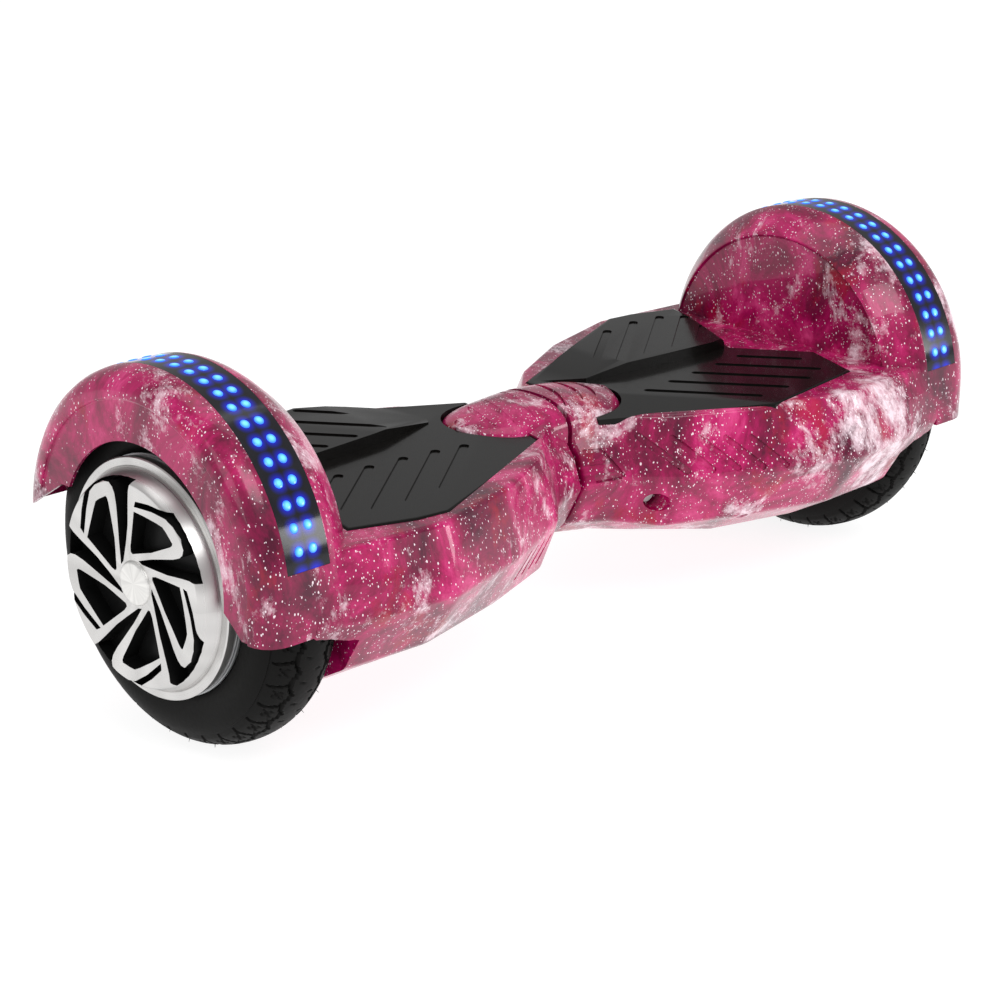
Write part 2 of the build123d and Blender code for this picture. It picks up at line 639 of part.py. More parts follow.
    # Wheel: tyre on a drum with magnets, an inner cover and a spoked outer cover
    with BuildPart() as tyre:
        with BuildSketch(Plane.XZ):
            with BuildLine():
                low, high = WHEEL_X - TYRE_HALF_W + BEAD_IN, RIM_OUT_X - BEAD_IN
                seat = AXLE_Z + RIM_R + SEAT_FIT
                flank = AXLE_Z + WHEEL_R - FLANK_DEPTH
                bead = Line((low, seat), (high, seat))
                outer_bead = Line(bead @ 1, (high + BEAD_IN, flank))
                crown = ThreePointArc(outer_bead @ 1, (WHEEL_X, AXLE_Z + WHEEL_R),
                                      (low - BEAD_IN, flank))
                Line(crown @ 1, bead @ 0)
            make_face()
        revolve(axis=Axis((0, 0, AXLE_Z), (1, 0, 0)))
    place(tyre.part, turn, f"{side}_tyre")

    with BuildPart() as motor_drum:
        add(x_rod(RIM_R, DRUM_IN_X, RIM_OUT_X - 0.5))
        for lip_x in (DRUM_IN_X, RIM_OUT_X - LIP_T - 0.5):
            add(x_rod(RIM_LIP_R, lip_x, lip_x + LIP_T))
        add(x_rod(DRUM_BORE_R, 0, EVER), mode=Mode.SUBTRACT)
    place(motor_drum.part, turn, f"{side}_motor_drum")

    with BuildPart() as magnet_ring:
        add(x_rod(DRUM_BORE_R - SEAT_FIT, WHEEL_X - STATOR_LEN / 2, WHEEL_X + STATOR_LEN / 2))
        add(x_rod(MAGNET_BORE_R, 0, EVER), mode=Mode.SUBTRACT)
    place(magnet_ring.part, turn, f"{side}_magnet_ring")

    inner_bearing_x = DRUM_IN_X + COVER_T / 2
    with BuildPart() as inner_cover:
        add(x_rod(DRUM_BORE_R - SEAT_FIT, DRUM_IN_X, DRUM_IN_X + COVER_T))
        add(x_rod(BEARING_R + BOSS_WALL, DRUM_IN_X, inner_bearing_x + BEARING_W))
        add(x_rod(BEARING_R + SEAT_FIT, inner_bearing_x, EVER), mode=Mode.SUBTRACT)
        add(x_rod(AXLE_ROOT_R + 1, 0, EVER), mode=Mode.SUBTRACT)
    place(inner_cover.part, turn, f"{side}_inner_cover")

    outer_bearing_x = RIM_OUT_X - BEARING_W
    with BuildPart() as spoke_cover:
        add(x_rod(RIM_LIP_R, RIM_OUT_X - 0.5, LIP_X))
        with BuildSketch(Plane.YZ.offset(RIM_OUT_X + 2.5)):
            with Locations((0, AXLE_Z)):
                Circle(RIM_LIP_R - 6)
        extrude(amount=EVER, mode=Mode.SUBTRACT)
        add(x_rod(BEARING_R + BOSS_WALL, outer_bearing_x, LIP_X + BOSS_PROUD))
        for spoke in range(SPOKES):
            with BuildSketch(Plane.YZ.offset(RIM_OUT_X)):
                with Locations(Location((0, AXLE_Z), spoke * 360 / SPOKES)):
                    Polygon(*SPOKE_OUTLINE, align=None)
                    Polygon(*SPOKE_WINDOW, align=None, mode=Mode.SUBTRACT)
            extrude(amount=LIP_PROUD + SPOKE_PROUD)
        add(x_rod(BEARING_R + SEAT_FIT, 0, RIM_OUT_X), mode=Mode.SUBTRACT)
    place(spoke_cover.part, turn, f"{side}_spoke_cover")

    with BuildPart() as hub_cap:
        add(x_rod(CAP_R, LIP_X + BOSS_PROUD, CAP_X))
        fillet(hub_cap.faces().sort_by(Axis.X)[-1].edges(), CAP_ROUND)
    place(hub_cap.part, turn, f"{side}_hub_cap")

    with BuildPart() as wheel_bearings:
        for bearing_x in (inner_bearing_x, outer_bearing_x):
            add(x_rod(BEARING_R, bearing_x, bearing_x + BEARING_W - SEAT_FIT))
        add(x_rod(AXLE_R + RUN_FIT, 0, EVER), mode=Mode.SUBTRACT)
    place(wheel_bearings.part, turn, f"{side}_wheel_bearings")

    # Fixed inside the wheel: axle, laminated stator and its coils
    with BuildPart() as axle:
        add(x_rod(AXLE_ROOT_R, CLAMP_X + 1, DRUM_IN_X))
        add(x_rod(AXLE_R, DRUM_IN_X, RIM_OUT_X - 1))
    place(axle.part, turn, f"{side}_axle")

    slot_in_r, slot_out_r = STATOR_R * 0.55, STATOR_R - 3.0
    stator_x = WHEEL_X - STATOR_LEN / 2
    with BuildPart() as stator_core:
        add(x_rod(STATOR_R, stator_x, stator_x + STATOR_LEN))
        add(x_rod(AXLE_R, 0, EVER), mode=Mode.SUBTRACT)
        with BuildSketch(Plane.YZ.offset(stator_x)):
            with Locations((0, AXLE_Z)):
                Circle(slot_out_r)
                Circle(slot_in_r, mode=Mode.SUBTRACT)
                with PolarLocations(0, TEETH):
                    Rectangle(slot_out_r + 1, TOOTH_W, align=(Align.MIN, Align.CENTER),
                              mode=Mode.SUBTRACT)
        extrude(amount=STATOR_LEN, mode=Mode.SUBTRACT)
    place(stator_core.part, turn, f"{side}_stator_core")

    coil_len = STATOR_LEN + 2 * COIL_OVERHANG
    with BuildPart() as stator_coils:
        with BuildSketch(Plane.YZ.offset(WHEEL_X - coil_len / 2)):
            with Locations((0, AXLE_Z)):
                with PolarLocations(slot_in_r + 3, TEETH):
                    Rectangle(slot_out_r - slot_in_r - 5, TOOTH_W + 2.4,
                              align=(Align.MIN, Align.CENTER))
                    Rectangle(EVER, TOOTH_W + 2 * SEAT_FIT, mode=Mode.SUBTRACT)
        extrude(amount=coil_len)
        with BuildSketch(Plane.YZ.offset(WHEEL_X - coil_len / 2)):
            with Locations((0, AXLE_Z)):
                with PolarLocations(slot_in_r + 3, TEETH):
                    Rectangle(slot_out_r - slot_in_r - 5, TOOTH_W + 2.4,
                              align=(Align.MIN, Align.CENTER))
        extrude(amount=COIL_OVERHANG - SEAT_FIT)
    place(stator_coils.part, turn, f"{side}_stator_coils")

# Pivot between the halves: tube held in the left frame, bushes in the right one
with BuildPart() as pivot_tube:
    add(x_rod(TUBE_R, -HUB_END_X + 4, HUB_END_X + AIR + NUT_T))
    add(x_rod(TUBE_BORE_R, -EVER, EVER), mode=Mode.SUBTRACT)
place(pivot_tube.part, 0, "pivot_tube")

with BuildPart() as pivot_bushes:
    for bush_x in (HALF_GAP + 1.0, HUB_END_X - BUSH_LEN):
        add(x_rod(TUBE_R + BUSH_T, bush_x, bush_x + BUSH_LEN))
    add(x_rod(TUBE_R + RUN_FIT, 0, EVER), mode=Mode.SUBTRACT)
place(pivot_bushes.part, 0, "pivot_bushes")

with BuildPart() as pivot_nut:
    with BuildSketch(Plane.YZ.offset(HUB_END_X + AIR)):
        with Locations((0, AXLE_Z)):
            RegularPolygon(NUT_R, 6)
            Circle(TUBE_R + SEAT_FIT, mode=Mode.SUBTRACT)
    extrude(amount=NUT_T)
place(pivot_nut.part, 0, "pivot_nut")

# Battery, hung under the right frame, and its strap
with BuildPart() as battery_pack:
    with BuildSketch(Plane.XY.offset(BATTERY_Z)):
        with Locations((BATTERY_X, 0)):
            RectangleRounded(BATTERY[0], BATTERY[1], 6)
    extrude(amount=BATTERY[2])
place(battery_pack.part, 0, "battery_pack")

with BuildPart() as battery_strap:
    with BuildSketch(Plane.YZ.offset(BATTERY_X - STRAP_W / 2)):
        with Locations((0, BATTERY_Z - STRAP_T)):
            Rectangle(BATTERY[1] + 2 * (STRAP_T + STRAP_FIT), PLATE_Z - BATTERY_Z + STRAP_T,
                      align=(Align.CENTER, Align.MIN))
        with Locations((0, BATTERY_Z)):
            Rectangle(BATTERY[1] + 2 * STRAP_FIT, EVER, align=(Align.CENTER, Align.MIN),
                      mode=Mode.SUBTRACT)
    extrude(amount=STRAP_W)
place(battery_strap.part, 0, "battery_strap")

# Main board on the left, on four pillars under the frame plate, with its parts
with BuildPart() as main_board:
    with BuildSketch(Plane.XY.offset(BOARD_Z)):
        with Locations((-BATTERY_X, 0)):
            RectangleRounded(BOARD[0], BOARD[1], 3)
    extrude(amount=BOARD[2])
place(main_board.part, 0, "main_board")

board_top = BOARD_Z + BOARD[2]
with BuildPart() as board_parts:
    pillars = [(-BATTERY_X + x, y) for x in (-PILLAR_X, PILLAR_X) for y in (-PILLAR_Y, PILLAR_Y)]
    add(column(pillars, STANDOFF_R, board_top, PLATE_Z))
    with BuildSketch(Plane.XY.offset(board_top)):
        with Locations((-BATTERY_X - HEAT_SINK_SPOT[0], HEAT_SINK_SPOT[1])):
            Rectangle(HEAT_SINK[0], HEAT_SINK[1])
    extrude(amount=HEAT_SINK[2])
    first_x = -BATTERY_X - CAPACITOR_SPOT[0]
    add(column([(first_x + CAPACITOR_PITCH * n, CAPACITOR_SPOT[1]) for n in range(CAPACITORS)],
               CAPACITOR_R, board_top, board_top + HEAT_SINK[2]))
    with BuildSketch(Plane.XY.offset(board_top)):
        with Locations((-LEAD_SLOT[0], -LEAD_SLOT[1]), (-MOTOR_SLOT_X, 0)):
            Rectangle(BOARD_PLUG[0], BOARD_PLUG[1])
    extrude(amount=BOARD_PLUG[2])
place(board_parts.part, 0, "board_parts")


def cable(points, radius, bend):
    """A round cable along straight runs with tangent bends."""
    with BuildPart() as lead:
        with BuildLine() as route:
            FilletPolyline(*points, radius=bend)
        with BuildSketch(Plane(origin=route.line @ 0, z_dir=route.line % 0)):
            Circle(radius)
        sweep()
    return lead.part


# Cables, all held inside the shells
plug_x = HUB_END_X + AIR + NUT_T + 3.0
plug_top = board_top + BOARD_PLUG[2] + AIR
axle_end_x = CLAMP_X + 0.5
slot_x, slot_y = LEAD_SLOT
harness = cable([(plug_x, 0, AXLE_Z), (-slot_x + 16, 0, AXLE_Z), (-slot_x, -slot_y, AXLE_Z - 8),
                 (-slot_x, -slot_y, plug_top)], HARNESS_R, 5)
place(cable([(-axle_end_x, 0, AXLE_Z), (-MOTOR_SLOT_X, 0, AXLE_Z),
             (-MOTOR_SLOT_X, 0, plug_top)], CABLE_R, 12), 0, "left_motor_cable")
socket_x = plug_x + PLUG_T + AIR
socket_end_x = socket_x + SOCKET_LEN
place(cable([(axle_end_x, 0, AXLE_Z), (axle_end_x - 28, 0, AXLE_Z),
             (axle_end_x - 58, -LEAD_Y, AXLE_Z), (socket_end_x, -LEAD_Y, AXLE_Z)],
            CABLE_R, 20), 0, "right_motor_cable")
place(cable([(socket_end_x, LEAD_Y, AXLE_Z), (slot_x - 7, LEAD_Y, AXLE_Z),
             (slot_x, slot_y, AXLE_Z - 7), (slot_x, slot_y, BATTERY_Z + BATTERY[2])],
            CABLE_R, 3), 0, "battery_lead")

with BuildPart() as pivot_harness:
    add(harness)
    with BuildSketch(Plane.YZ.offset(plug_x)):
        with Locations((0, AXLE_Z)):
            RectangleRounded(PLUG[0], PLUG[1], 2)
    extrude(amount=PLUG_T)
place(pivot_harness.part, 0, "pivot_harness")

with BuildPart() as harness_socket:
    with BuildSketch(Plane.YZ.offset(socket_x)):
        with Locations((0, AXLE_Z)):
            RectangleRounded(SOCKET[0], SOCKET[1], 2)
    extrude(amount=SOCKET_LEN)
place(harness_socket.part, 0, "harness_socket")

# Power button in the right recess
with BuildPart() as button_bezel:
    add(port_rod(PORT_R - SEAT_FIT, BUTTON_SINK, BEZEL_T, BUTTON_R + RUN_FIT))
place(button_bezel.part, 0, "button_bezel")

with BuildPart() as power_button:
    add(port_rod(BUTTON_R, BUTTON_SINK - BUTTON_TRAVEL - AIR, BUTTON_T))
    fillet(power_button.faces().sort_by(Axis.Y)[0].edges(), 0.8)
place(power_button.part, 0, "power_button")

# Charging port in the left recess
with BuildPart() as charge_socket:
    add(port_rod(PORT_R - SEAT_FIT, SOCKET_SINK, SOCKET_DEEP, SOCKET_R))
    add(port_rod(PORT_R - SEAT_FIT, SOCKET_SINK, SOCKET_FLOOR_T))
place(charge_socket.part, 180, "charge_socket")
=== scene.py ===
"""Looks of a self-balancing board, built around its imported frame.

Every piece is drawn in millimetres for the half whose wheel is towards +X, and the left half is
the same drawing turned half round about Z. Each piece is scaled to metres when it is finished.
"""
import json
from math import atan2, cos, pi, radians, sin

import bmesh
import bpy
from bpy.props import FloatProperty, FloatVectorProperty, IntProperty, PointerProperty
from mathutils import Matrix, Vector


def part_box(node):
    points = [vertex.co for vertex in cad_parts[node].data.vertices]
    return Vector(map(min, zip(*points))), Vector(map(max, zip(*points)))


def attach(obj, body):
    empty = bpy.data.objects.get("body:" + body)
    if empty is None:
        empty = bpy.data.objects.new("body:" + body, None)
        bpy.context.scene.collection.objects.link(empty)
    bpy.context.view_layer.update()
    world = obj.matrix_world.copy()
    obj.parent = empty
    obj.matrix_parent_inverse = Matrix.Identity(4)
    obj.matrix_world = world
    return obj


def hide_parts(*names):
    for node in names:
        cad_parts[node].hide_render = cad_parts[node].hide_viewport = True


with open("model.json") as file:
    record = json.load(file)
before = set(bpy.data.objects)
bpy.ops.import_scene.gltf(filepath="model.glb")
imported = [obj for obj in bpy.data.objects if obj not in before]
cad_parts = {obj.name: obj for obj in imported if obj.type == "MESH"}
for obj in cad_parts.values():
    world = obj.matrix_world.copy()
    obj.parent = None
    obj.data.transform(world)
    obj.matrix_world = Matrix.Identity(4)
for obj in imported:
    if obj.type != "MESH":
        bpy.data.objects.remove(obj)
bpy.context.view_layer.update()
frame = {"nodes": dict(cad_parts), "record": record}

bl_info = {
    "name": "Balance Board",
    "version": (1, 0, 0),
    "blender": (4, 5, 0),
    "location": "View3D > Sidebar > Board",
    "description": "Builds the shells, pads, wheels and lamps of a self-balancing board",
    "category": "Object",
}

MM = 0.001
SIDES = (("right", 0.0, -1), ("left", pi, 1))

# Places shared with the frame, read from its nodes
TYRE_LOW, TYRE_HIGH = [[v / MM for v in corner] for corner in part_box("right_tyre")]
WHEEL_X = (TYRE_LOW[0] + TYRE_HIGH[0]) / 2
WHEEL_R = (TYRE_HIGH[2] - TYRE_LOW[2]) / 2
AXLE_Z = (TYRE_HIGH[2] + TYRE_LOW[2]) / 2
TYRE_HALF_W = (TYRE_HIGH[0] - TYRE_LOW[0]) / 2
SHELL_LOW, SHELL_HIGH = [[v / MM for v in corner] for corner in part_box("right_upper_shell")]
HALF_GAP = SHELL_LOW[0]
FENDER_R = 105.0
FENDER_Z = SHELL_HIGH[2] - FENDER_R
SEAM_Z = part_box("right_lower_shell")[1][2] / MM
PAD_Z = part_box("right_foot_pad")[0][2] / MM
POCKET_Z = 123.7
BAY_X = WHEEL_X - TYRE_HALF_W - 1.5
WING_X = WHEEL_X + 6.0
TAIL_WING_X = WHEEL_X - 10.0
SKIRT_Z = AXLE_Z - 9.5
TAIL_Z = AXLE_Z + 18.5
ARCH_R = 69.0
ARCH_Z = AXLE_Z + 7.6
LED_X = WHEEL_X + 9.0
LED_W = 28.6
LED_START, LED_END = 9.5, 147.0
LED_FIRST, LED_PITCH, LED_ROWS, LED_SPACING = 15.4, 6.65, 20, 9.3
LED_BED_R = 103.6
LENS_R = 2.75
PORT_X, PORT_R, PORT_TILT = 46.0, 6.4, radians(18.0)
FAR = 400.0
ARCH_FACE_X = 290.0
BARE_END = 3.6
LYING = Matrix(((0, 0, 1, 0), (1, 0, 0, 0), (0, 1, 0, 0), (0, 0, 0, 1)))
WALL = 2.5
BORE_R, CABLE_R, POST_HOLE_R = 20.0, 12.0, 4.3
SCREW_POST_R, SCREW_RECESS_R = 5.2, 3.5
PORT_POST_SINK, PORT_SINK, PORT_REACH = 19.5, 17.0, 60.0
EDGE_SOFTNESS = 2.6

# Cross-sections of the body: distance from the middle, then half width and height above the
# axle of the bottom, lower bend, crease, shoulder and top corners
STATIONS = (
    (0.0, (12, -43.5), (30, -31), (44.6, -5.5), (38, 12.5), (14, 40)),
    (30.0, (18, -46), (41, -34), (53, -5.5), (48, 15), (39, 32.5)),
    (54.0, (30, -49), (62, -38), (76, -5.5), (70, 14), (61, 32.5)),
    (108.0, (50, -57), (80, -39), (100, -5.5), (95, 14), (89, 32.5)),
    (171.0, (60, -59.5), (92, -42), (119, -5.5), (114, 14), (107, 32.5)),
    (218.0, (60, -59.5), (90, -42), (114, -5.5), (110, 14), (103, 32.5)),
    (246.0, (58, -58), (89, -41), (107.5, -5.5), (106, 14), (101, 32.5)),
    (262.0, (54, -54), (86, -38), (106, -5.5), (104, 14), (99, 32.5)),
)
PAD_OUTLINE = ((20, -36), (116, -92), (204, -79), (219, -37), (186, 6), (214, 58),
               (220, 82), (181, 95), (160, 97), (35, 41))
RAISED_OUTLINE = {
    "right": ((40, 38), (62, 15), (114, 10), (169, 6), (183, 8), (207, 58), (213, 78),
              (180, 89), (160, 91), (46, 41)),
    "left": ((54, -38), (66, -20), (114, -13), (172, -8), (186, -5), (211, -38), (199, -72),
             (117, -84), (60, -51)),
}
STEP_POINTS = 5
LOW_TREAD_Z, RAISED_TREAD_Z = 133.6, 140.0
TONGUE_NOSE, TONGUE_W = 62.0, 31.0
HUMP_TOP_Z, HUMP_BASE_Z, HUMP_FALL = 143.0, 126.0, 8.0
SLASH_DEPTH, SLASH_HALF_W = 1.3, 1.9
POST_SPOTS = ((112, 26), (158, 26), (112, -26), (158, -26))
FRAME_SCREWS = ((80, 34), (80, -34), (197, 34), (197, -34))
RIM_SCREWS = ((108, 76), (108, -76), (205, 84), (205, -84))


# Mesh helpers, all in millimetres

def verts_of(geometry):
    """The vertices in an operator's result."""
    return [g for g in geometry if isinstance(g, bmesh.types.BMVert)]


def edges_of(geometry):
    """The edges in an operator's result."""
    return [g for g in geometry if isinstance(g, bmesh.types.BMEdge)]


def tidy(bm, closeness=0.001):
    """Merges doubles and points the faces outwards."""
    bmesh.ops.remove_doubles(bm, verts=bm.verts, dist=closeness)
    bmesh.ops.recalc_face_normals(bm, faces=bm.faces)
    return bm


def skin(rings):
    """A closed form through rings of as many points each, made by drawing out the first ring."""
    bm = bmesh.new()
    ring = [bm.verts.new(p) for p in rings[0]]
    bm.faces.new(ring)
    edges = list(bm.edges)
    for points in rings[1:]:
        place = {v: i for i, v in enumerate(ring)}
        made = bmesh.ops.extrude_edge_only(bm, edges=edges)["geom"]
        ring = [None] * len(points)
        for v in verts_of(made):
            old = next(e.other_vert(v) for e in v.link_edges if e.other_vert(v) in place)
            ring[place[old]] = v
        for v, p in zip(ring, points):
            v.co = p
        edges = [e for e in edges_of(made) if e.verts[0] in ring and e.verts[1] in ring]
    bm.faces.new(ring)
    return tidy(bm)


def prism(points, depth, place=None):
    """A flat outline in XY drawn out along Z and then placed."""
    bm = bmesh.new()
    bm.faces.new([bm.verts.new((p[0], p[1], 0)) for p in points])
    made = bmesh.ops.extrude_face_region(bm, geom=list(bm.faces))["geom"]
    bmesh.ops.translate(bm, verts=verts_of(made), vec=(0, 0, depth))
    tidy(bm)
    if place is not None:
        bm.transform(place)
    return bm


def rod(radius, start, end, z=AXLE_Z, steps=48):
    """A round bar along X over the middle line."""
    bm = bmesh.new()
    bmesh.ops.create_cone(bm, cap_ends=True, segments=steps, radius1=radius, radius2=radius,
                          depth=end - start)
    turn = Matrix.Rotation(pi / 2, 4, "Y")
    bm.transform(Matrix.Translation(((start + end) / 2, 0, z)) @ turn)
    return bm


def column(spots, radius, low, high, steps=24):
    """Upright round bars at a list of places, in one mesh."""
    bm = bmesh.new()
    for x, y in spots:
        bmesh.ops.create_cone(bm, cap_ends=True, segments=steps, radius1=radius,
                              radius2=radius, depth=high - low,
                              matrix=Matrix.Translation((x, y, (low + high) / 2)))
    return bm


def spun(profile, centre_z, angle=2 * pi, steps=96, closed=True, start=0.0):
    """A profile of (x, radius) points spun about an axis along X, from +Y towards +Z."""
    bm = bmesh.new()
    verts = [bm.verts.new((x, r * cos(start), centre_z + r * sin(start))) for x, r in profile]
    for a, b in zip(verts, verts[1:]):
        bm.edges.new((a, b))
    if closed:
        bm.edges.new((verts[-1], verts[0]))
    bmesh.ops.spin(bm, geom=list(bm.verts) + list(bm.edges), cent=(0, 0, centre_z),
                   axis=(1, 0, 0), angle=angle, steps=steps, use_merge=angle >= 2 * pi)
    return bm


def arc_bar(x, width, low_r, high_r, start, sweep, steps=60):
    """A curved bar that follows the top of the fender. Angles are counted from +Y."""
    bm = bmesh.new()
    corners = ((x, low_r), (x + width, low_r), (x + width, high_r), (x, high_r))
    a = radians(start)
    bm.faces.new([bm.verts.new((px, r * cos(a), FENDER_Z + r * sin(a))) for px, r in corners])
    bmesh.ops.spin(bm, geom=list(bm.verts) + list(bm.edges) + list(bm.faces),
                   cent=(0, 0, FENDER_Z), axis=(1, 0, 0), angle=radians(sweep), steps=steps)
    return tidy(bm)


def join(*parts):
    """Several meshes in one, each left whole."""
    bm = parts[0]
    for part in parts[1:]:
        mesh = bpy.data.meshes.new("scratch")
        part.to_mesh(mesh)
        part.free()
        bm.from_mesh(mesh)
        bpy.data.meshes.remove(mesh)
    return bm


def combine(base, other, operation):
    """Two closed meshes added, cut or crossed. Both are used up."""
    objects = []
    for bm in (base, other):
        mesh = bpy.data.meshes.new("scratch")
        bm.to_mesh(mesh)
        bm.free()
        for _ in range(2):
            mesh.materials.append(None)
        objects.append(bpy.data.objects.new("scratch", mesh))
        bpy.context.scene.collection.objects.link(objects[-1])
    target, tool = objects
    modifier = target.modifiers.new("combine", "BOOLEAN")
    modifier.operation = operation
    modifier.solver = "MANIFOLD"
    modifier.object = tool
    modifier.material_mode = "INDEX"
    bpy.context.view_layer.update()
    graph = bpy.context.evaluated_depsgraph_get()
    result = bpy.data.meshes.new_from_object(target.evaluated_get(graph))
    out = bmesh.new()
    out.from_mesh(result)
    bpy.data.meshes.remove(result)
    for o in objects:
        mesh = o.data
        bpy.data.objects.remove(o)
        bpy.data.meshes.remove(mesh)
    if not out.faces:
        raise RuntimeError("the " + operation + " left nothing")
    return out


def cut(bm, *tools):
    """A mesh less each of its tools in turn."""
    for tool in tools:
        bm = combine(bm, tool, "DIFFERENCE")
    return bm


def raised_to(z):
    """The place of an outline at a height."""
    return Matrix.Translation((0, 0, z))


def soften(bm, offset, segments, least=0.12):
    """Rounds every edge that turns by more than the least angle."""
    edges = [e for e in bm.edges if len(e.link_faces) == 2 and e.calc_face_angle(0) > least]
    bmesh.ops.bevel(bm, geom=edges, offset=offset, segments=segments, profile=0.5,
                    affect="EDGES", material=-1, clamp_overlap=True)
    return bm


def keep_side(bm, point, normal):
    """Cuts a closed mesh by a plane, drops what the normal points to and closes the cut."""
    geometry = list(bm.verts) + list(bm.edges) + list(bm.faces)
    cut = bmesh.ops.bisect_plane(bm, geom=geometry, plane_co=point, plane_no=normal,
                                 clear_outer=True, dist=0.0001)
    bmesh.ops.holes_fill(bm, edges=edges_of(cut["geom_cut"]))
    return tidy(bm)


def finish_piece(name, bm, materials, body, turn=0.0, stands_for=(), sharp=28.0,
                 weighted=True):
    """Turns a mesh to its side, scales it to metres and makes it a riding piece."""
    bm.transform(Matrix.Scale(MM, 4) @ Matrix.Rotation(turn, 4, "Z"))
    for face in bm.faces:
        face.smooth = True
    for edge in bm.edges:
        edge.smooth = len(edge.link_faces) == 2 and edge.calc_face_angle(0) < radians(sharp)
    mesh = bpy.data.meshes.new(name)
    bm.to_mesh(mesh)
    bm.free()
    piece = bpy.data.objects.new(name, mesh)
    bpy.context.scene.collection.objects.link(piece)
    for material in materials:
        mesh.materials.append(material)
    if weighted:
        normals = piece.modifiers.new("even shading", "WEIGHTED_NORMAL")
        normals.keep_sharp = True
    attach(piece, body)
    if stands_for:
        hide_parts(*stands_for)
    return piece


# The body's form

def corner_at(x, row):
    """Half width and height of one corner of the cross-section at a distance x."""
    for near, far in zip(STATIONS, STATIONS[1:]):
        if near[0] <= x <= far[0]:
            share = (x - near[0]) / (far[0] - near[0])
            return [a + share * (b - a) for a, b in zip(near[row], far[row])]
    return STATIONS[-1][row]


def section_points(x, inset):
    """The ten corners of the body's cross-section at x, moved inwards by a wall."""
    half = []
    for row, rise in zip(range(1, 6), (1.0, 0.5, 0.0, -0.2, -1.0)):
        width, height = corner_at(x, row)
        half.append((x, width - inset * 1.1, AXLE_Z + height + inset * rise))
    return half + [(px, -y, z) for px, y, z in reversed(half)]


def body_form(start, end, inset=0.0, step=9.0):
    """The closed form of the body between two cross-sections."""
    marks = [start] + [row[0] for row in STATIONS if start < row[0] < end] + [end]
    places = [start]
    for a, b in zip(marks, marks[1:]):
        parts = max(1, round((b - a) / step))
        places += [a + (b - a) * n / parts for n in range(1, parts + 1)]
    return skin([section_points(x, inset) for x in places])


def guard_form(profile, low):
    """A half-round form about the fender's axis with straight sides down to a level."""
    bm = spun(profile, FENDER_Z, angle=pi, steps=72, closed=False)
    bmesh.ops.remove_doubles(bm, verts=bm.verts, dist=0.001)
    rim = [e for e in bm.edges if e.is_boundary]
    made = bmesh.ops.extrude_edge_only(bm, edges=rim)["geom"]
    for v in verts_of(made):
        v.co.z = low
    bottom = [e for e in bm.edges if e.is_boundary]
    bmesh.ops.contextual_create(bm, geom=bottom)
    return tidy(bm)


def port_place(sink):
    """The matrix of a bar on the recess axis, pointing out, from a depth behind its mouth."""
    low, crease = corner_at(PORT_X, 2), corner_at(PORT_X, 3)
    mouth = Vector((PORT_X, -(low[0] + crease[0]) / 2, AXLE_Z + (low[1] + crease[1]) / 2))
    out = Vector((0, -cos(PORT_TILT), -sin(PORT_TILT)))
    turn = out.to_track_quat("Z", "X").to_matrix().to_4x4()
    return Matrix.Translation(mouth - out * sink) @ turn


def port_rod(radius, sink, length):
    """A bar on the recess axis."""
    bm = bmesh.new()
    bmesh.ops.create_cone(bm, cap_ends=True, segments=40, radius1=radius, radius2=radius,
                          depth=length,
                          matrix=port_place(sink) @ Matrix.Translation((0, 0, length / 2)))
    return bm


def stadium(a, b, width, steps=8):
    """The outline of a slot with round ends between two points."""
    a, b = Vector(a), Vector(b)
    heading = atan2(b.y - a.y, b.x - a.x)
    points = []
    for end, first in ((b, heading - pi / 2), (a, heading + pi / 2)):
        for n in range(steps + 1):
            t = first + pi * n / steps
            points.append((end.x + width / 2 * cos(t), end.y + width / 2 * sin(t)))
    return points


def hump_half_width(x, least):
    """Half width of the pivot hump, which narrows to its nose by a share of at least one."""
    width = TONGUE_W + 1.0
    if x > TONGUE_NOSE - TONGUE_W:
        along = min(1.0, (x - TONGUE_NOSE + TONGUE_W) / TONGUE_W)
        width *= max(least, 1 - along ** 2.2) ** 0.5
    return width


def hump_height(x, y):
    """Height of the pivot hump over a plan position."""
    top = HUMP_TOP_Z - HUMP_FALL * (x / TONGUE_NOSE) ** 1.6
    share = min(1.0, abs(y) / max(hump_half_width(x, 0.0), 0.01))
    return HUMP_BASE_Z + (top - HUMP_BASE_Z) * (1 - share ** 2.4) ** (1 / 2.4)


def hump():
    """The bullet-nosed hump over the pivot."""
    rings = []
    for n in range(19):
        x = HALF_GAP + (TONGUE_NOSE - HALF_GAP) * sin(pi / 2 * n / 18)
        width = hump_half_width(x, 0.02)
        ring = [(x, -width, POCKET_Z - 4.0)]
        for k in range(25):
            y = -width * cos(pi * k / 24)
            ring.append((x, y, hump_height(x, y * 0.9999)))
        rings.append(ring + [(x, width, POCKET_Z - 4.0)])
    return skin(rings)


HUMP_SLASHES = (((5, -23), (14, -2), (21, 23)), ((22, -21), (31, -1), (35.5, 21)),
                ((36, -18), (44, -1), (46.5, 17)), ((54, -9), (58.5, -1), (56, 8)))


def bent(points, t):
    """A place along the smooth curve through three points."""
    a, b, c = (Vector(p) for p in points)
    return a * (1 - t) * (1 - 2 * t) + b * 4 * t * (1 - t) + c * t * (2 * t - 1)


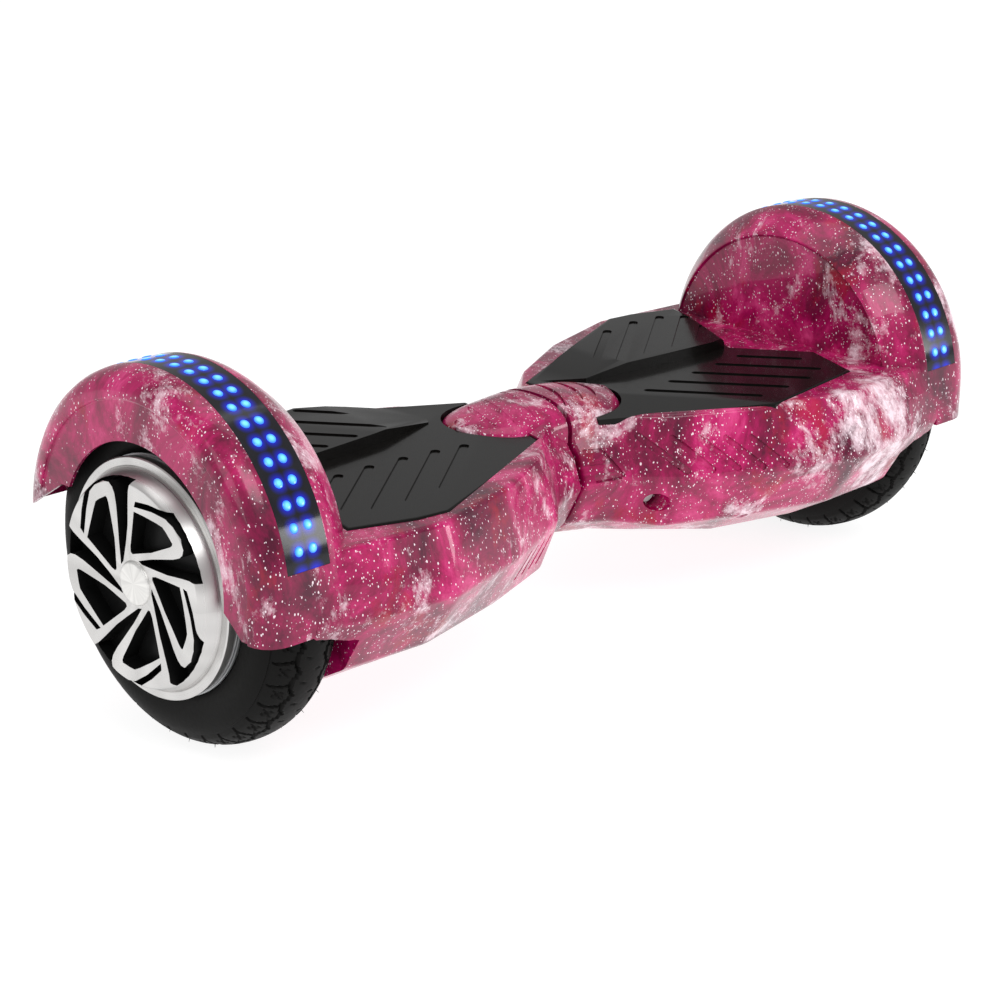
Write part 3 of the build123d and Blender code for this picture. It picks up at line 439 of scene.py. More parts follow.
def hump_slashes(depth):
    """Crescent cutters that cross the hump and follow its top."""
    cutters = []
    for points in HUMP_SLASHES:
        rings = []
        for k in range(19):
            t = k / 18
            middle = bent(points, t)
            heading = (bent(points, min(1, t + 0.05)) - bent(points, max(0, t - 0.05)))
            across = heading.orthogonal().normalized()
            half = 0.15 + SLASH_HALF_W * sin(pi * t) ** 0.8
            a, b = middle - across * half, middle + across * half
            za, zb = hump_height(a.x, a.y), hump_height(b.x, b.y)
            rings.append([(a.x, a.y, za - depth), (b.x, b.y, zb - depth * 0.2),
                          (b.x, b.y, zb + 4), (a.x, a.y, za + 4)])
        cutters.append(skin(rings))
    return join(*cutters)


def facet_spot(x, z, side):
    """The place on the body's front or rear at a distance along it and a height."""
    rows = [corner_at(x, row) for row in range(1, 6)]
    for low, high in zip(rows, rows[1:]):
        if low[1] <= z - AXLE_Z <= high[1]:
            share = (z - AXLE_Z - low[1]) / (high[1] - low[1])
            return Vector((x, side * (low[0] + (high[0] - low[0]) * share), z))
    raise RuntimeError("no facet at that height")


def facet_slot(start, end, width, depth, side=-1):
    """The cutter of a round-ended slot between two places (x, z) on the body's side."""
    a, b = facet_spot(*start, side), facet_spot(*end, side)
    along = (b - a).normalized()
    x, z = (a.x + b.x) / 2, (a.z + b.z) / 2
    level = facet_spot(x + 1, z, side) - facet_spot(x - 1, z, side)
    out = along.cross(level).normalized()
    out = out if out.y * side > 0 else -out
    place = Matrix((along, out.cross(along), out)).transposed().to_4x4()
    place.translation = a - out * depth
    return prism(stadium((0, 0), ((b - a).length, 0), width), depth + 4, place)


def louvres(depth):
    """The cutters of the comb beside the waist and of the slanted slots along the facet."""
    slots = []
    for n in range(5):
        top, foot = (37.5 + 15 * n, 120.3 - 1.2 * n), (56.5 + 15.2 * n, 99.8 - 0.8 * n)
        middle = ((top[0] + foot[0]) / 2, (top[1] + foot[1]) / 2)
        for start, end in ((top, middle), (middle, foot)):
            slots.append(facet_slot(start, end, 4.4 - 0.15 * n, depth))
    comb = [facet_slot((15.8, 114.2), (26.6, 98.0), 2.4, depth)]
    comb += [facet_slot((5.6 + 1.9 * n, 114.6 - 7.4 * n), (15.8 + 4.6 * n, 114.2 - 7.2 * n),
                        2.4, depth * 0.8) for n in range(3)]
    return slots + comb


def belly_ribs(depth):
    """Slanted grooves on the lower facet of the other side."""
    return [facet_slot((60.0 + 9.0 * n, 88.0), (66.0 + 9.0 * n, 72.0), 2.6, depth, 1)
            for n in range(4)]


GUARD_PROFILE = ((227.9, 0), (227.9, 60), (227.7, 80), (227.6, 87.8), (226.8, 88.6),
                 (226.5, 89.3), (227.0, 90.3), (231, 93.4), (236, 97.6), (241, 101.1),
                 (246, 103.7), (250, 105), (279.5, 105), (284.5, 104.2), (289.3, 102),
                 (292.6, 98.6), (294.5, 94.5), (295, 91), (295, 89.6), (294.6, 88.9),
                 (293.7, 88.5), (293.4, 88), (293.4, 0))
BAY_PROFILE = ((229.9, 0), (229.9, 84.5), (231.5, 88.2), (236, 94.3), (241, 98.1),
               (246, 100.8), (250, 102), (288.6, 102), (291.2, 99.4), (291.2, 0))


def inner_room():
    """The hollow of the body, inside its walls."""
    return body_form(HALF_GAP + WALL, BAY_X - BARE_END, WALL, 60.0)


def shared_openings():
    """The openings that cross the seam: the pivot's bore and the axle's and the recess's."""
    return (rod(BORE_R, 0.0, 5.5), rod(CABLE_R, BAY_X - 6.0, BAY_X + 2.0),
            port_rod(PORT_R, PORT_SINK, PORT_REACH))


def upper_shell(front, louvre_depth):
    """Deck, waist, hump and fender of one half."""
    rear = -front
    tail = ((0, 0), (0, TAIL_Z + 18), (rear * ARCH_R, TAIL_Z + 18.5),
            (rear * (FENDER_R - 8), TAIL_Z), (rear * FAR, TAIL_Z - 6), (rear * FAR, 0))
    flare = ((0, 0), (0, ARCH_Z), (front * (ARCH_R - 7), ARCH_Z),
             (front * (ARCH_R + 10), SKIRT_Z + 3.5), (front * (ARCH_R + 14), SKIRT_Z),
             (front * (ARCH_R + 14), 0))
    body = soften(body_form(HALF_GAP, WING_X), EDGE_SOFTNESS, 3)
    body = keep_side(body, (0, 0, SEAM_Z), (0, 0, -1))
    body = cut(body, prism(PAD_OUTLINE, 30.0, raised_to(POCKET_Z)), *louvres(louvre_depth))
    body = combine(body, cut(hump(), hump_slashes(SLASH_DEPTH)), "UNION")
    guard = cut(guard_form(GUARD_PROFILE, SKIRT_Z - 25.0),
                prism(((0, -FAR), (FAR, -FAR), (FAR, FAR), (0, FAR)), FAR,
                      raised_to(SKIRT_Z - FAR)),
                prism(((0, -FAR), (WING_X, -FAR), (WING_X, FAR), (0, FAR)), FAR,
                      raised_to(SEAM_Z - FAR)))
    start = LED_START if front > 0 else 180.0 - LED_END
    shell = cut(combine(body, guard, "UNION"),
                prism(tail, FAR, Matrix.Translation((TAIL_WING_X, 0, 0)) @ LYING),
                guard_form(BAY_PROFILE, SKIRT_Z - 60.0),
                prism(flare, FAR, Matrix.Translation((ARCH_FACE_X, 0, 0)) @ LYING),
                rod(ARCH_R, ARCH_FACE_X, FAR, z=ARCH_Z, steps=128),
                arc_bar(LED_X - LED_W / 2, LED_W, LED_BED_R, FENDER_R + 3, start,
                        LED_END - LED_START))
    hollow = keep_side(inner_room(), (0, 0, POCKET_Z - WALL), (0, 0, 1))
    hollow = cut(hollow, port_rod(PORT_R + WALL, PORT_POST_SINK, PORT_REACH))
    return cut(shell, hollow, column(POST_SPOTS, POST_HOLE_R, 100.0, FAR),
               *shared_openings())


def lower_shell(front, rib_depth):
    """The belly of one half."""
    rear = -front
    body = soften(body_form(HALF_GAP, WING_X), EDGE_SOFTNESS, 3)
    body = keep_side(body, (0, 0, SEAM_Z), (0, 0, 1))
    body = cut(body, *belly_ribs(rib_depth), guard_form(BAY_PROFILE, SKIRT_Z - 120.0),
               prism(((TAIL_WING_X, 0), (FAR, 0), (FAR, rear * FAR), (TAIL_WING_X, rear * FAR)),
                     FAR),
               prism(((BAY_X, -102), (FAR, -102), (FAR, 102), (BAY_X, 102)), FAR))
    hollow = cut(inner_room(), column(FRAME_SCREWS, SCREW_POST_R, 0, 84.0),
                 column(RIM_SCREWS, SCREW_POST_R, 0, FAR),
                 port_rod(PORT_R + WALL, PORT_POST_SINK, PORT_REACH))
    return cut(body, hollow, column(FRAME_SCREWS, SCREW_RECESS_R, 0, 72.0),
               column(RIM_SCREWS, SCREW_RECESS_R, 0, SEAM_Z - 12.0), *shared_openings())


# Pads

DIAGONAL_GROOVES = (((79, 24), (137, 68)), ((98, 20), (165, 71)), ((120, 17), (187, 68)),
                    ((144, 15), (200, 58)), ((167, 15), (193, 35)))
CROSS_GROOVES = (((78, -22.5), (120, -75)), ((102.5, -20), (146, -74)),
                 ((127, -17.5), (170, -71)), ((151.5, -15), (190, -63)),
                 ((175, -12.5), (198, -41)))

# A point and a normal of the planes that slope each part down beside the tongue
RAISED_FALL = {"right": ((45, 35, LOW_TREAD_Z + 0.3), (-0.12, 0, 1)),
               "left": ((63, -22, LOW_TREAD_Z + 0.3), (-0.145, 0, 1))}
LOW_FALL = {"right": ((64.5, -18.4, LOW_TREAD_Z), (-0.055, -0.044, 1)),
            "left": ((64, 20, LOW_TREAD_Z), (-0.042, 0.056, 1))}


def inset_outline(points, amount):
    """An outline moved inwards by an amount."""
    bm = bmesh.new()
    face = bm.faces.new([bm.verts.new((p[0], p[1], 0)) for p in points])
    bmesh.ops.inset_region(bm, faces=[face], thickness=amount)
    result = [(v.co.x, v.co.y) for v in face.verts]
    bm.free()
    return result


def tongue_outline(grow):
    """The bullet-nosed plan of the hump, grown by a gap."""
    shoulder = TONGUE_NOSE - TONGUE_W
    half = TONGUE_W + grow
    points = [(-20.0, half), (-20.0, -half)]
    for n in range(25):
        t = -pi / 2 + pi * n / 24
        points.append((shoulder + half * cos(t), half * sin(t)))
    return points


def foot_pad(side, groove_depth):
    """One tread moulding: a low and a raised part, with round-ended grooves."""
    low = prism(inset_outline(PAD_OUTLINE, 0.8), LOW_TREAD_Z - PAD_Z, raised_to(PAD_Z))
    rim = [e for e in low.edges if all(v.co.z > LOW_TREAD_Z - 0.1 for v in e.verts)]
    bmesh.ops.bevel(low, geom=rim, offset=2.4, segments=3, profile=0.5, affect="EDGES",
                    material=-1)
    tidy(low)
    points = RAISED_OUTLINE[side]
    raised = prism(points, RAISED_TREAD_Z - PAD_Z - 1, raised_to(PAD_Z + 1))
    step = {(round(x), round(y)) for x, y in points[:STEP_POINTS]}
    rim = [e for e in raised.edges if all(v.co.z > RAISED_TREAD_Z - 0.1 for v in e.verts)
           and not all((round(v.co.x), round(v.co.y)) in step for v in e.verts)]
    bmesh.ops.bevel(raised, geom=rim, offset=4.6, segments=3, profile=0.5, affect="EDGES",
                    material=-1)
    tidy(raised)
    pad = combine(keep_side(raised, *RAISED_FALL[side]), keep_side(low, *LOW_FALL[side]),
                  "UNION")
    tops = [RAISED_TREAD_Z, LOW_TREAD_Z]
    if side == "left":
        tops.reverse()
    cutters = [prism(stadium(start, end, width), 3, raised_to(top - groove_depth))
               for grooves, width, top in zip((DIAGONAL_GROOVES, CROSS_GROOVES), (5.6, 5.2), tops)
               for start, end in grooves]
    return cut(pad, join(*cutters), prism(tongue_outline(1.2), 40, raised_to(PAD_Z - 5)))


# Wheels

COVER_PROFILE = ((281.2, 0), (281.2, 66.2), (286.0, 67.0), (288.5, 67.2), (289.2, 66.6),
                 (289.2, 62.6), (288.8, 62.0), (290.2, 61.5), (293.2, 60.4), (296.4, 59.1),
                 (299.2, 57.8), (300.7, 56.6), (300.9, 55.6), (300.4, 50), (299.2, 36),
                 (298.2, 22), (297.7, 12), (297.7, 0))
BLADES = 5
BLADE_TIP_R = 58.9


def rim_arc(start, end, steps=6):
    """Points along the blades' outer circle between two angles."""
    angles = [radians(start + (end - start) * n / steps) for n in range(steps + 1)]
    return tuple((BLADE_TIP_R * cos(a), BLADE_TIP_R * sin(a)) for a in angles)


# Outlines of one window and of the dark sector behind one blade, from the axle's middle
WINDOW = ((-2.7, 20.3), (3.2, 41.8), (11.5, 41.5), (23.2, 40.6), (28.2, 39.9), (31.1, 37.8),
          (36.2, 33), (35.8, 31.6), (33.8, 30.2), (15.8, 21.8), (-1.3, 16.2), (-2.8, 17.1))
SECTOR = ((3.8, 44.6), (5.5, 48.1), (16.8, 49.4), (28, 49.3)) + rim_arc(55.2, 15.5) + (
    (50, 16.2), (43.5, 15.4), (29.5, 13.2), (18.5, 12.6), (6.5, 12.3), (3.5, 13.6),
    (14.9, 17.8), (35.9, 24), (41.9, 26.5), (44.8, 28.9), (46, 32), (43.2, 37.4),
    (37.4, 42.6), (31.4, 45.4), (19.5, 45.9))


def wheel_cover():
    """The machined wheel face: black pockets between swept blades."""
    cover = tidy(spun(COVER_PROFILE, AXLE_Z, closed=False, steps=160))
    for outline, floor_x in ((WINDOW, 289.5), (SECTOR, 288.5)):
        cutters = []
        for n in range(BLADES):
            turn = Matrix.Rotation(2 * pi / BLADES * n, 4, "X")
            cutter = prism(outline, 20.0,
                           Matrix.Translation((floor_x, 0, AXLE_Z)) @ turn @ LYING)
            for face in cutter.faces:
                face.material_index = 1
            cutters.append(cutter)
        cover = cut(cover, join(*cutters))
    return cover


TREAD_BLOCKS = 38
BEAD_R, SIDEWALL_R = 66.3, 78.0
WHISKER_LEN, WHISKER_R, WHISKER_OUT = 5.0, 0.45, 13.0


def tread_cut(across, around):
    """The share of the full depth cut at a place across and around the tyre."""
    pitch = 2 * pi * WHEEL_R / TREAD_BLOCKS
    side = 1 if across > 0 else -1
    s = abs(across)
    u = (around + (pitch / 2 if side > 0 else 0)) % pitch / pitch
    zigzag = abs(u * 2 - 1)
    if abs(s - (8.0 + 3.6 * zigzag)) < 0.85:
        return 1.0
    if 9.5 < s < 20.5:
        slant = (u + (s - 9.5) * 0.018) % 1.0
        if min(slant, 1 - slant) * pitch < 0.75:
            return 1.0
        cross = (u - 0.52) * pitch
        rise = s - 15.6
        near = min(abs(rise - cross * 0.8), abs(rise + cross * 0.8))
        if abs(cross) < 2.9 and near < 0.5:
            return 0.55
    if 20.6 < s < 21.7:
        return 0.5
    if 3.0 < s < 6.0 and min(u, 1 - u) * pitch < 0.5:
        return 0.5
    return 0.0


def tyre(tread_depth, whiskers):
    """A round tyre with a block tread and thin moulding whiskers."""
    crown = []
    for n in range(57):
        t = -pi / 2 + pi * n / 56
        s = TYRE_HALF_W * (1 if t > 0 else -1) * abs(sin(t)) ** 0.93
        crown.append((WHEEL_X + s,
                      SIDEWALL_R + (WHEEL_R - SIDEWALL_R) * max(0.0, cos(t)) ** 0.93))
    low = [(WHEEL_X - 21.5, BEAD_R), (WHEEL_X - 23.4, 68.4), (WHEEL_X - 24.4, 71.0)]
    high = [(2 * WHEEL_X - x, r) for x, r in reversed(low)]
    bm = spun(low + crown + high, AXLE_Z, steps=720)
    bmesh.ops.remove_doubles(bm, verts=bm.verts, dist=0.001)
    for v in bm.verts:
        reach = Vector((v.co.y, v.co.z - AXLE_Z))
        r = reach.length
        s = v.co.x - WHEEL_X
        if r < 79 or abs(s) > 23.5:
            angle = atan2(reach.y, reach.x)
            if 71.5 < r < 76.5 and cos(angle * 96) > 0.2 and sin(angle * 3) > 0.55:
                v.co.x += 0.5 if s > 0 else -0.5
            continue
        drop = tread_cut(s, atan2(reach.y, reach.x) * WHEEL_R)
        if drop:
            new = reach * (1 - tread_depth * drop / r)
            v.co.y, v.co.z = new.x, new.y + AXLE_Z
    bmesh.ops.recalc_face_normals(bm, faces=bm.faces)
    for n in range(whiskers):
        t = 2 * pi * (n + 0.35 * sin(n * 2.4)) / whiskers
        s = WHISKER_OUT * (1 if n % 2 else -1)
        r = 96.6
        out = Vector((s * 0.02, cos(t), sin(t))).normalized()
        foot = Vector((WHEEL_X + s, r * cos(t), AXLE_Z + r * sin(t)))
        place = Matrix.Translation(foot) @ out.to_track_quat("Z", "X").to_matrix().to_4x4()
        bmesh.ops.create_cone(bm, cap_ends=True, segments=4, radius1=WHISKER_R,
                              radius2=0.12, depth=WHISKER_LEN, matrix=place)
    return bm


# Lamps

def lamp_domes(front, height):
    """A shallow dome over each lamp."""
    domes = []
    for row in range(LED_ROWS):
        angle = radians(LED_FIRST + row * LED_PITCH)
        out = Vector((0, front * cos(angle), sin(angle)))
        for shift in (-LED_SPACING / 2, LED_SPACING / 2):
            spot = Vector((LED_X + shift, 0, FENDER_Z)) + out * (LED_BED_R + 0.4)
            place = (Matrix.Translation(spot)
                     @ out.to_track_quat("Z", "X").to_matrix().to_4x4())
            bm = bmesh.new()
            verts = [bm.verts.new((LENS_R * cos(a), 0, 1.0 + height * sin(a)))
                     for a in (0, 0.35, 0.7, 1.1, pi / 2)]
            foot = bm.verts.new((LENS_R, 0, 0))
            for a, b in zip([foot] + verts, verts):
                bm.edges.new((a, b))
            bmesh.ops.spin(bm, geom=list(bm.verts) + list(bm.edges), cent=(0, 0, 0),
                           axis=(0, 0, 1), angle=2 * pi, steps=16, use_merge=True)
            bmesh.ops.remove_doubles(bm, verts=bm.verts, dist=0.001)
            bmesh.ops.contextual_create(bm, geom=[e for e in bm.edges if e.is_boundary])
            tidy(bm)
            bm.transform(place)
            domes.append(bm)
    return join(*domes)


# Shader helpers

def start_material(name):
    """A new material with its tree, ready for a shader."""
    material = bpy.data.materials.new(name)
    material.use_nodes = True
    tree = material.node_tree
    return material, tree, tree.nodes["Principled BSDF"]


def add(tree, kind, inputs=(), **settings):
    """A node with its settings, and with values or links on its inputs."""
    node = tree.nodes.new(kind)
    for key, value in settings.items():
        setattr(node, key, value)
    for key, value in dict(inputs).items():
        if isinstance(value, bpy.types.NodeSocket):
            tree.links.new(value, node.inputs[key])
        else:
            node.inputs[key].default_value = value
    return node


def maths(tree, operation, a, b=0.0, c=None, clamp=False):
    """The result of one sum."""
    values = {0: a, 1: b} if c is None else {0: a, 1: b, 2: c}
    return add(tree, "ShaderNodeMath", values, operation=operation, use_clamp=clamp).outputs[0]


def ramp(tree, value, stops):
    """A colour ramp from (place, colour) stops."""
    node = add(tree, "ShaderNodeValToRGB", {0: value})
    elements = node.color_ramp.elements
    while len(elements) < len(stops):
        elements.new(0.5)
    for element, (place, colour) in zip(elements, stops):
        element.position = place
        element.color = tuple(colour)[:3] + (1.0,)
    return node.outputs["Color"]


def blend_colours(tree, share, a, b):
    """One colour over another by a share."""
    node = tree.nodes.new("ShaderNodeMix")
    node.data_type = "RGBA"
    for key, value in ((0, share), (6, a), (7, b)):
        if isinstance(value, bpy.types.NodeSocket):
            tree.links.new(value, node.inputs[key])
        else:
            node.inputs[key].default_value = value if key == 0 else tuple(value)[:3] + (1.0,)
    return node.outputs[2]


def new_group(name, inputs, outputs):
    """An empty shader group with named sockets. Each row is (name, type, default)."""
    tree = bpy.data.node_groups.new(name, "ShaderNodeTree")
    for label, kind, default in inputs:
        socket = tree.interface.new_socket(label, in_out="INPUT", socket_type=kind)
        if default is not None:
            socket.default_value = default
    for label, kind in outputs:
        tree.interface.new_socket(label, in_out="OUTPUT", socket_type=kind)
    return tree, tree.nodes.new("NodeGroupInput"), tree.nodes.new("NodeGroupOutput")


def grain_group():
    """Fine surface grain: a slightly uneven colour, a roughness and a height."""
    if "Surface grain" in bpy.data.node_groups:
        return bpy.data.node_groups["Surface grain"]
    tree, start, end = new_group("Surface grain", [
        ("Colour", "NodeSocketColor", (0.5, 0.5, 0.5, 1.0)),
        ("Unevenness", "NodeSocketFloat", 0.1),
        ("Roughness", "NodeSocketFloat", 0.4),
        ("Scale", "NodeSocketFloat", 300.0),
        ("Stretch", "NodeSocketVector", (1.0, 1.0, 1.0)),
    ], [("Colour", "NodeSocketColor"), ("Roughness", "NodeSocketFloat"),
        ("Height", "NodeSocketFloat")])
    place = add(tree, "ShaderNodeTexCoord").outputs["Object"]
    stretched = add(tree, "ShaderNodeVectorMath", {0: place, 1: start.outputs["Stretch"]},
                    operation="MULTIPLY").outputs[0]
    fine = add(tree, "ShaderNodeTexNoise", {"Vector": stretched, "Detail": 3.0,
                                            "Scale": start.outputs["Scale"]}).outputs[0]
    broad = add(tree, "ShaderNodeTexNoise", {"Vector": place, "Detail": 2.0,
                                             "Scale": 28.0}).outputs[0]
    mixed = maths(tree, "ADD", maths(tree, "MULTIPLY", fine, 0.6),
                  maths(tree, "MULTIPLY", broad, 0.4))
    centred = maths(tree, "SUBTRACT", mixed, 0.5)
    lift = maths(tree, "MULTIPLY_ADD", centred, start.outputs["Unevenness"], 1.0)
    tinted = add(tree, "ShaderNodeVectorMath", {0: start.outputs["Colour"], 3: lift},
                 operation="SCALE").outputs[0]
    rough = maths(tree, "MULTIPLY_ADD", centred, maths(
        tree, "MULTIPLY", start.outputs["Unevenness"], 0.6), start.outputs["Roughness"],
        clamp=True)
    tree.links.new(tinted, end.inputs["Colour"])
    tree.links.new(rough, end.inputs["Roughness"])
    tree.links.new(fine, end.inputs["Height"])
    return tree


def plain_finish(name, colour, rough, metal=0.0, scale=300.0, uneven=0.25, bump=0.05,
                 coat=0.0, stretch=(1, 1, 1)):
    """A material with the shared grain in its colour, roughness and bump."""
    if name in bpy.data.materials:
        return bpy.data.materials[name]
    material, tree, shader = start_material(name)
    grain = tree.nodes.new("ShaderNodeGroup")
    grain.node_tree = grain_group()
    for key, value in (("Colour", tuple(colour)[:3] + (1.0,)), ("Unevenness", uneven),
                       ("Roughness", rough), ("Scale", scale), ("Stretch", stretch)):
        grain.inputs[key].default_value = value
    tree.links.new(grain.outputs["Colour"], shader.inputs["Base Color"])
    tree.links.new(grain.outputs["Roughness"], shader.inputs["Roughness"])
    bumped = add(tree, "ShaderNodeBump", {"Height": grain.outputs["Height"], "Strength": bump,
                                          "Distance": 0.0004})
    tree.links.new(bumped.outputs["Normal"], shader.inputs["Normal"])
    shader.inputs["Metallic"].default_value = metal
    shader.inputs["Specular IOR Level"].default_value = 0.5 if metal else 0.08
    shader.inputs["Coat Weight"].default_value = coat
    shader.inputs["Coat Roughness"].default_value = 0.04
    return material


def star_group():
    """White specks of uneven size, thicker where a second value is high."""
    tree, start, end = new_group("Star specks", [
        ("Scale", "NodeSocketFloat", 300.0), ("Size", "NodeSocketFloat", 0.2),
        ("Crowding", "NodeSocketFloat", 0.5)], [("Specks", "NodeSocketFloat")])
    place = add(tree, "ShaderNodeTexCoord").outputs["Object"]
    tall = add(tree, "ShaderNodeVectorMath", {0: place, 1: (1.0, 1.0, 0.62)},
               operation="MULTIPLY").outputs[0]
    cells = add(tree, "ShaderNodeTexVoronoi", {"Vector": tall, "Randomness": 1.0,
                                               "Scale": start.outputs["Scale"]})
    chance = add(tree, "ShaderNodeSeparateColor", {0: cells.outputs["Color"]})
    chosen = maths(tree, "LESS_THAN", chance.outputs[0], start.outputs["Crowding"])
    size = maths(tree, "MULTIPLY", start.outputs["Size"], maths(
        tree, "MULTIPLY_ADD", chance.outputs[1], 0.9, 0.25))
    near = maths(tree, "SUBTRACT", size, cells.outputs["Distance"])
    spot = maths(tree, "MULTIPLY", near, 22.0, clamp=True)
    tree.links.new(maths(tree, "MULTIPLY", spot, chosen), end.inputs["Specks"])
    return tree


def print_material(colours):
    """The glossy cloud-and-star print under clear lacquer."""
    if "shell_print_look" in bpy.data.materials:
        return bpy.data.materials["shell_print_look"]
    material, tree, shader = start_material("shell_print_look")
    place = add(tree, "ShaderNodeTexCoord").outputs["Object"]
    tall = add(tree, "ShaderNodeVectorMath", {0: place, 1: (1.0, 1.0, 0.72)},
               operation="MULTIPLY").outputs[0]
    deep = add(tree, "ShaderNodeTexNoise", {"Vector": tall, "Scale": 20.0, "Detail": 8.0,
                                            "Roughness": 0.72, "Distortion": 0.6}).outputs[0]
    base = ramp(tree, deep, ((0.36, colours.print_dark), (0.48, colours.print_mid),
                             (0.57, colours.print_light), (0.68, colours.print_pink)))
    heat = add(tree, "ShaderNodeTexNoise", {"Vector": add(
        tree, "ShaderNodeVectorMath", {0: tall, 1: (3.1, 7.7, 1.3)}, operation="ADD"
        ).outputs[0], "Scale": 26.0, "Detail": 7.0, "Roughness": 0.7}).outputs[0]
    reds = maths(tree, "MULTIPLY", maths(tree, "SUBTRACT", heat, 0.56), 9.0, clamp=True)
    base = blend_colours(tree, maths(tree, "MULTIPLY", reds, 0.6), base, colours.print_red)
    mist = add(tree, "ShaderNodeTexNoise", {"Vector": add(
        tree, "ShaderNodeVectorMath", {0: tall, 1: (9.4, 2.2, 5.8)}, operation="ADD"
        ).outputs[0], "Scale": 19.0, "Detail": 10.0, "Roughness": 0.76,
        "Distortion": 0.25}).outputs[0]
    clouds = maths(tree, "MULTIPLY", maths(tree, "SUBTRACT", mist, 0.54), 9.5, clamp=True)
    base = blend_colours(tree, maths(tree, "MULTIPLY", clouds, 0.9), base,
                         colours.print_cloud)
    crowding = maths(tree, "MULTIPLY_ADD", mist, 2.2, -0.62)
    group = star_group()
    specks = None
    for scale, size, share in ((250.0, 0.16, 0.6), (430.0, 0.22, 1.0), (700.0, 0.27, 1.2)):
        stars = tree.nodes.new("ShaderNodeGroup")
        stars.node_tree = group
        stars.inputs["Scale"].default_value = scale
        stars.inputs["Size"].default_value = size
        tree.links.new(maths(tree, "MULTIPLY", crowding, share), stars.inputs["Crowding"])
        out = stars.outputs["Specks"]
        specks = out if specks is None else maths(tree, "MAXIMUM", specks, out)
    base = blend_colours(tree, maths(tree, "MULTIPLY", specks, 0.88), base,
                         (1.0, 0.86, 0.92))
    tree.links.new(base, shader.inputs["Base Color"])
    orange = add(tree, "ShaderNodeTexNoise", {"Vector": place, "Scale": 120.0,
                                              "Detail": 1.0}).outputs[0]
    rough = maths(tree, "MULTIPLY_ADD", orange, 0.10, 0.24)
    tree.links.new(rough, shader.inputs["Roughness"])
    bumped = add(tree, "ShaderNodeBump", {"Height": orange, "Strength": 0.05,
                                          "Distance": 0.0008})
    tree.links.new(bumped.outputs["Normal"], shader.inputs["Normal"])
    shader.inputs["Specular IOR Level"].default_value = 0.25
    shader.inputs["Coat Weight"].default_value = 0.4
    shader.inputs["Coat Roughness"].default_value = 0.03
    return material


def turned_metal(name, colour, rough):
    """Machined bright metal with fine turning rings about the wheel's axis."""
    if name in bpy.data.materials:
        return bpy.data.materials[name]
    material, tree, shader = start_material(name)
    place = add(tree, "ShaderNodeTexCoord").outputs["Object"]
    parts = add(tree, "ShaderNodeSeparateXYZ", {0: place})
    height = maths(tree, "SUBTRACT", parts.outputs[2], AXLE_Z * MM)
    radius = maths(tree, "SQRT", maths(tree, "ADD", maths(
        tree, "MULTIPLY", parts.outputs[1], parts.outputs[1]), maths(
        tree, "MULTIPLY", height, height)))
    angle = maths(tree, "ARCTAN2", height, parts.outputs[1])
    rings = add(tree, "ShaderNodeTexNoise", {"W": maths(tree, "MULTIPLY", radius, 2600.0),
                                             "Detail": 2.0, "Scale": 1.0},
                noise_dimensions="1D").outputs[0]
    sweep = add(tree, "ShaderNodeTexNoise", {"W": angle,
                                             "Detail": 1.0, "Scale": 2.6},
                noise_dimensions="1D").outputs[0]
    tone = maths(tree, "MULTIPLY_ADD", maths(tree, "SUBTRACT", sweep, 0.5), 0.5, 1.0)
    tinted = add(tree, "ShaderNodeVectorMath", {0: tuple(colour)[:3], 3: tone},
                 operation="SCALE").outputs[0]
    tree.links.new(tinted, shader.inputs["Base Color"])
    tree.links.new(maths(tree, "MULTIPLY_ADD", rings, 0.16, rough - 0.08),
                   shader.inputs["Roughness"])
    bumped = add(tree, "ShaderNodeBump", {"Height": rings, "Strength": 0.12,
                                          "Distance": 0.0001})
    tree.links.new(bumped.outputs["Normal"], shader.inputs["Normal"])
    shader.inputs["Metallic"].default_value = 0.9
    return material


def lamp_mask(tree, start, gain):
    """How near a place on the fender is to its nearest lamp: 1 on it, 0 away from it."""
    place = add(tree, "ShaderNodeTexCoord").outputs["Object"]
    parts = add(tree, "ShaderNodeSeparateXYZ", {0: place})
    front = maths(tree, "MULTIPLY", parts.outputs[1], -1.0)
    rise = maths(tree, "SUBTRACT", parts.outputs[2], FENDER_Z * MM)
    angle = maths(tree, "ARCTAN2", rise, front)
    turns = maths(tree, "DIVIDE", maths(tree, "SUBTRACT", angle, radians(LED_FIRST)),
                  radians(LED_PITCH))
    off = maths(tree, "SUBTRACT", turns, maths(tree, "ROUND", turns))
    along = maths(tree, "MULTIPLY", off, radians(LED_PITCH) * FENDER_R)
    across = maths(tree, "SUBTRACT", maths(tree, "ABSOLUTE", maths(
        tree, "SUBTRACT", maths(tree, "MULTIPLY", maths(tree, "ABSOLUTE", parts.outputs[0]),
                                1.0 / MM), LED_X)), LED_SPACING / 2)
    reach = maths(tree, "SQRT", maths(tree, "ADD", maths(tree, "MULTIPLY", along, along),
                                      maths(tree, "MULTIPLY", across, across)))
    return maths(tree, "MULTIPLY", maths(tree, "SUBTRACT", start, reach), gain, clamp=True)


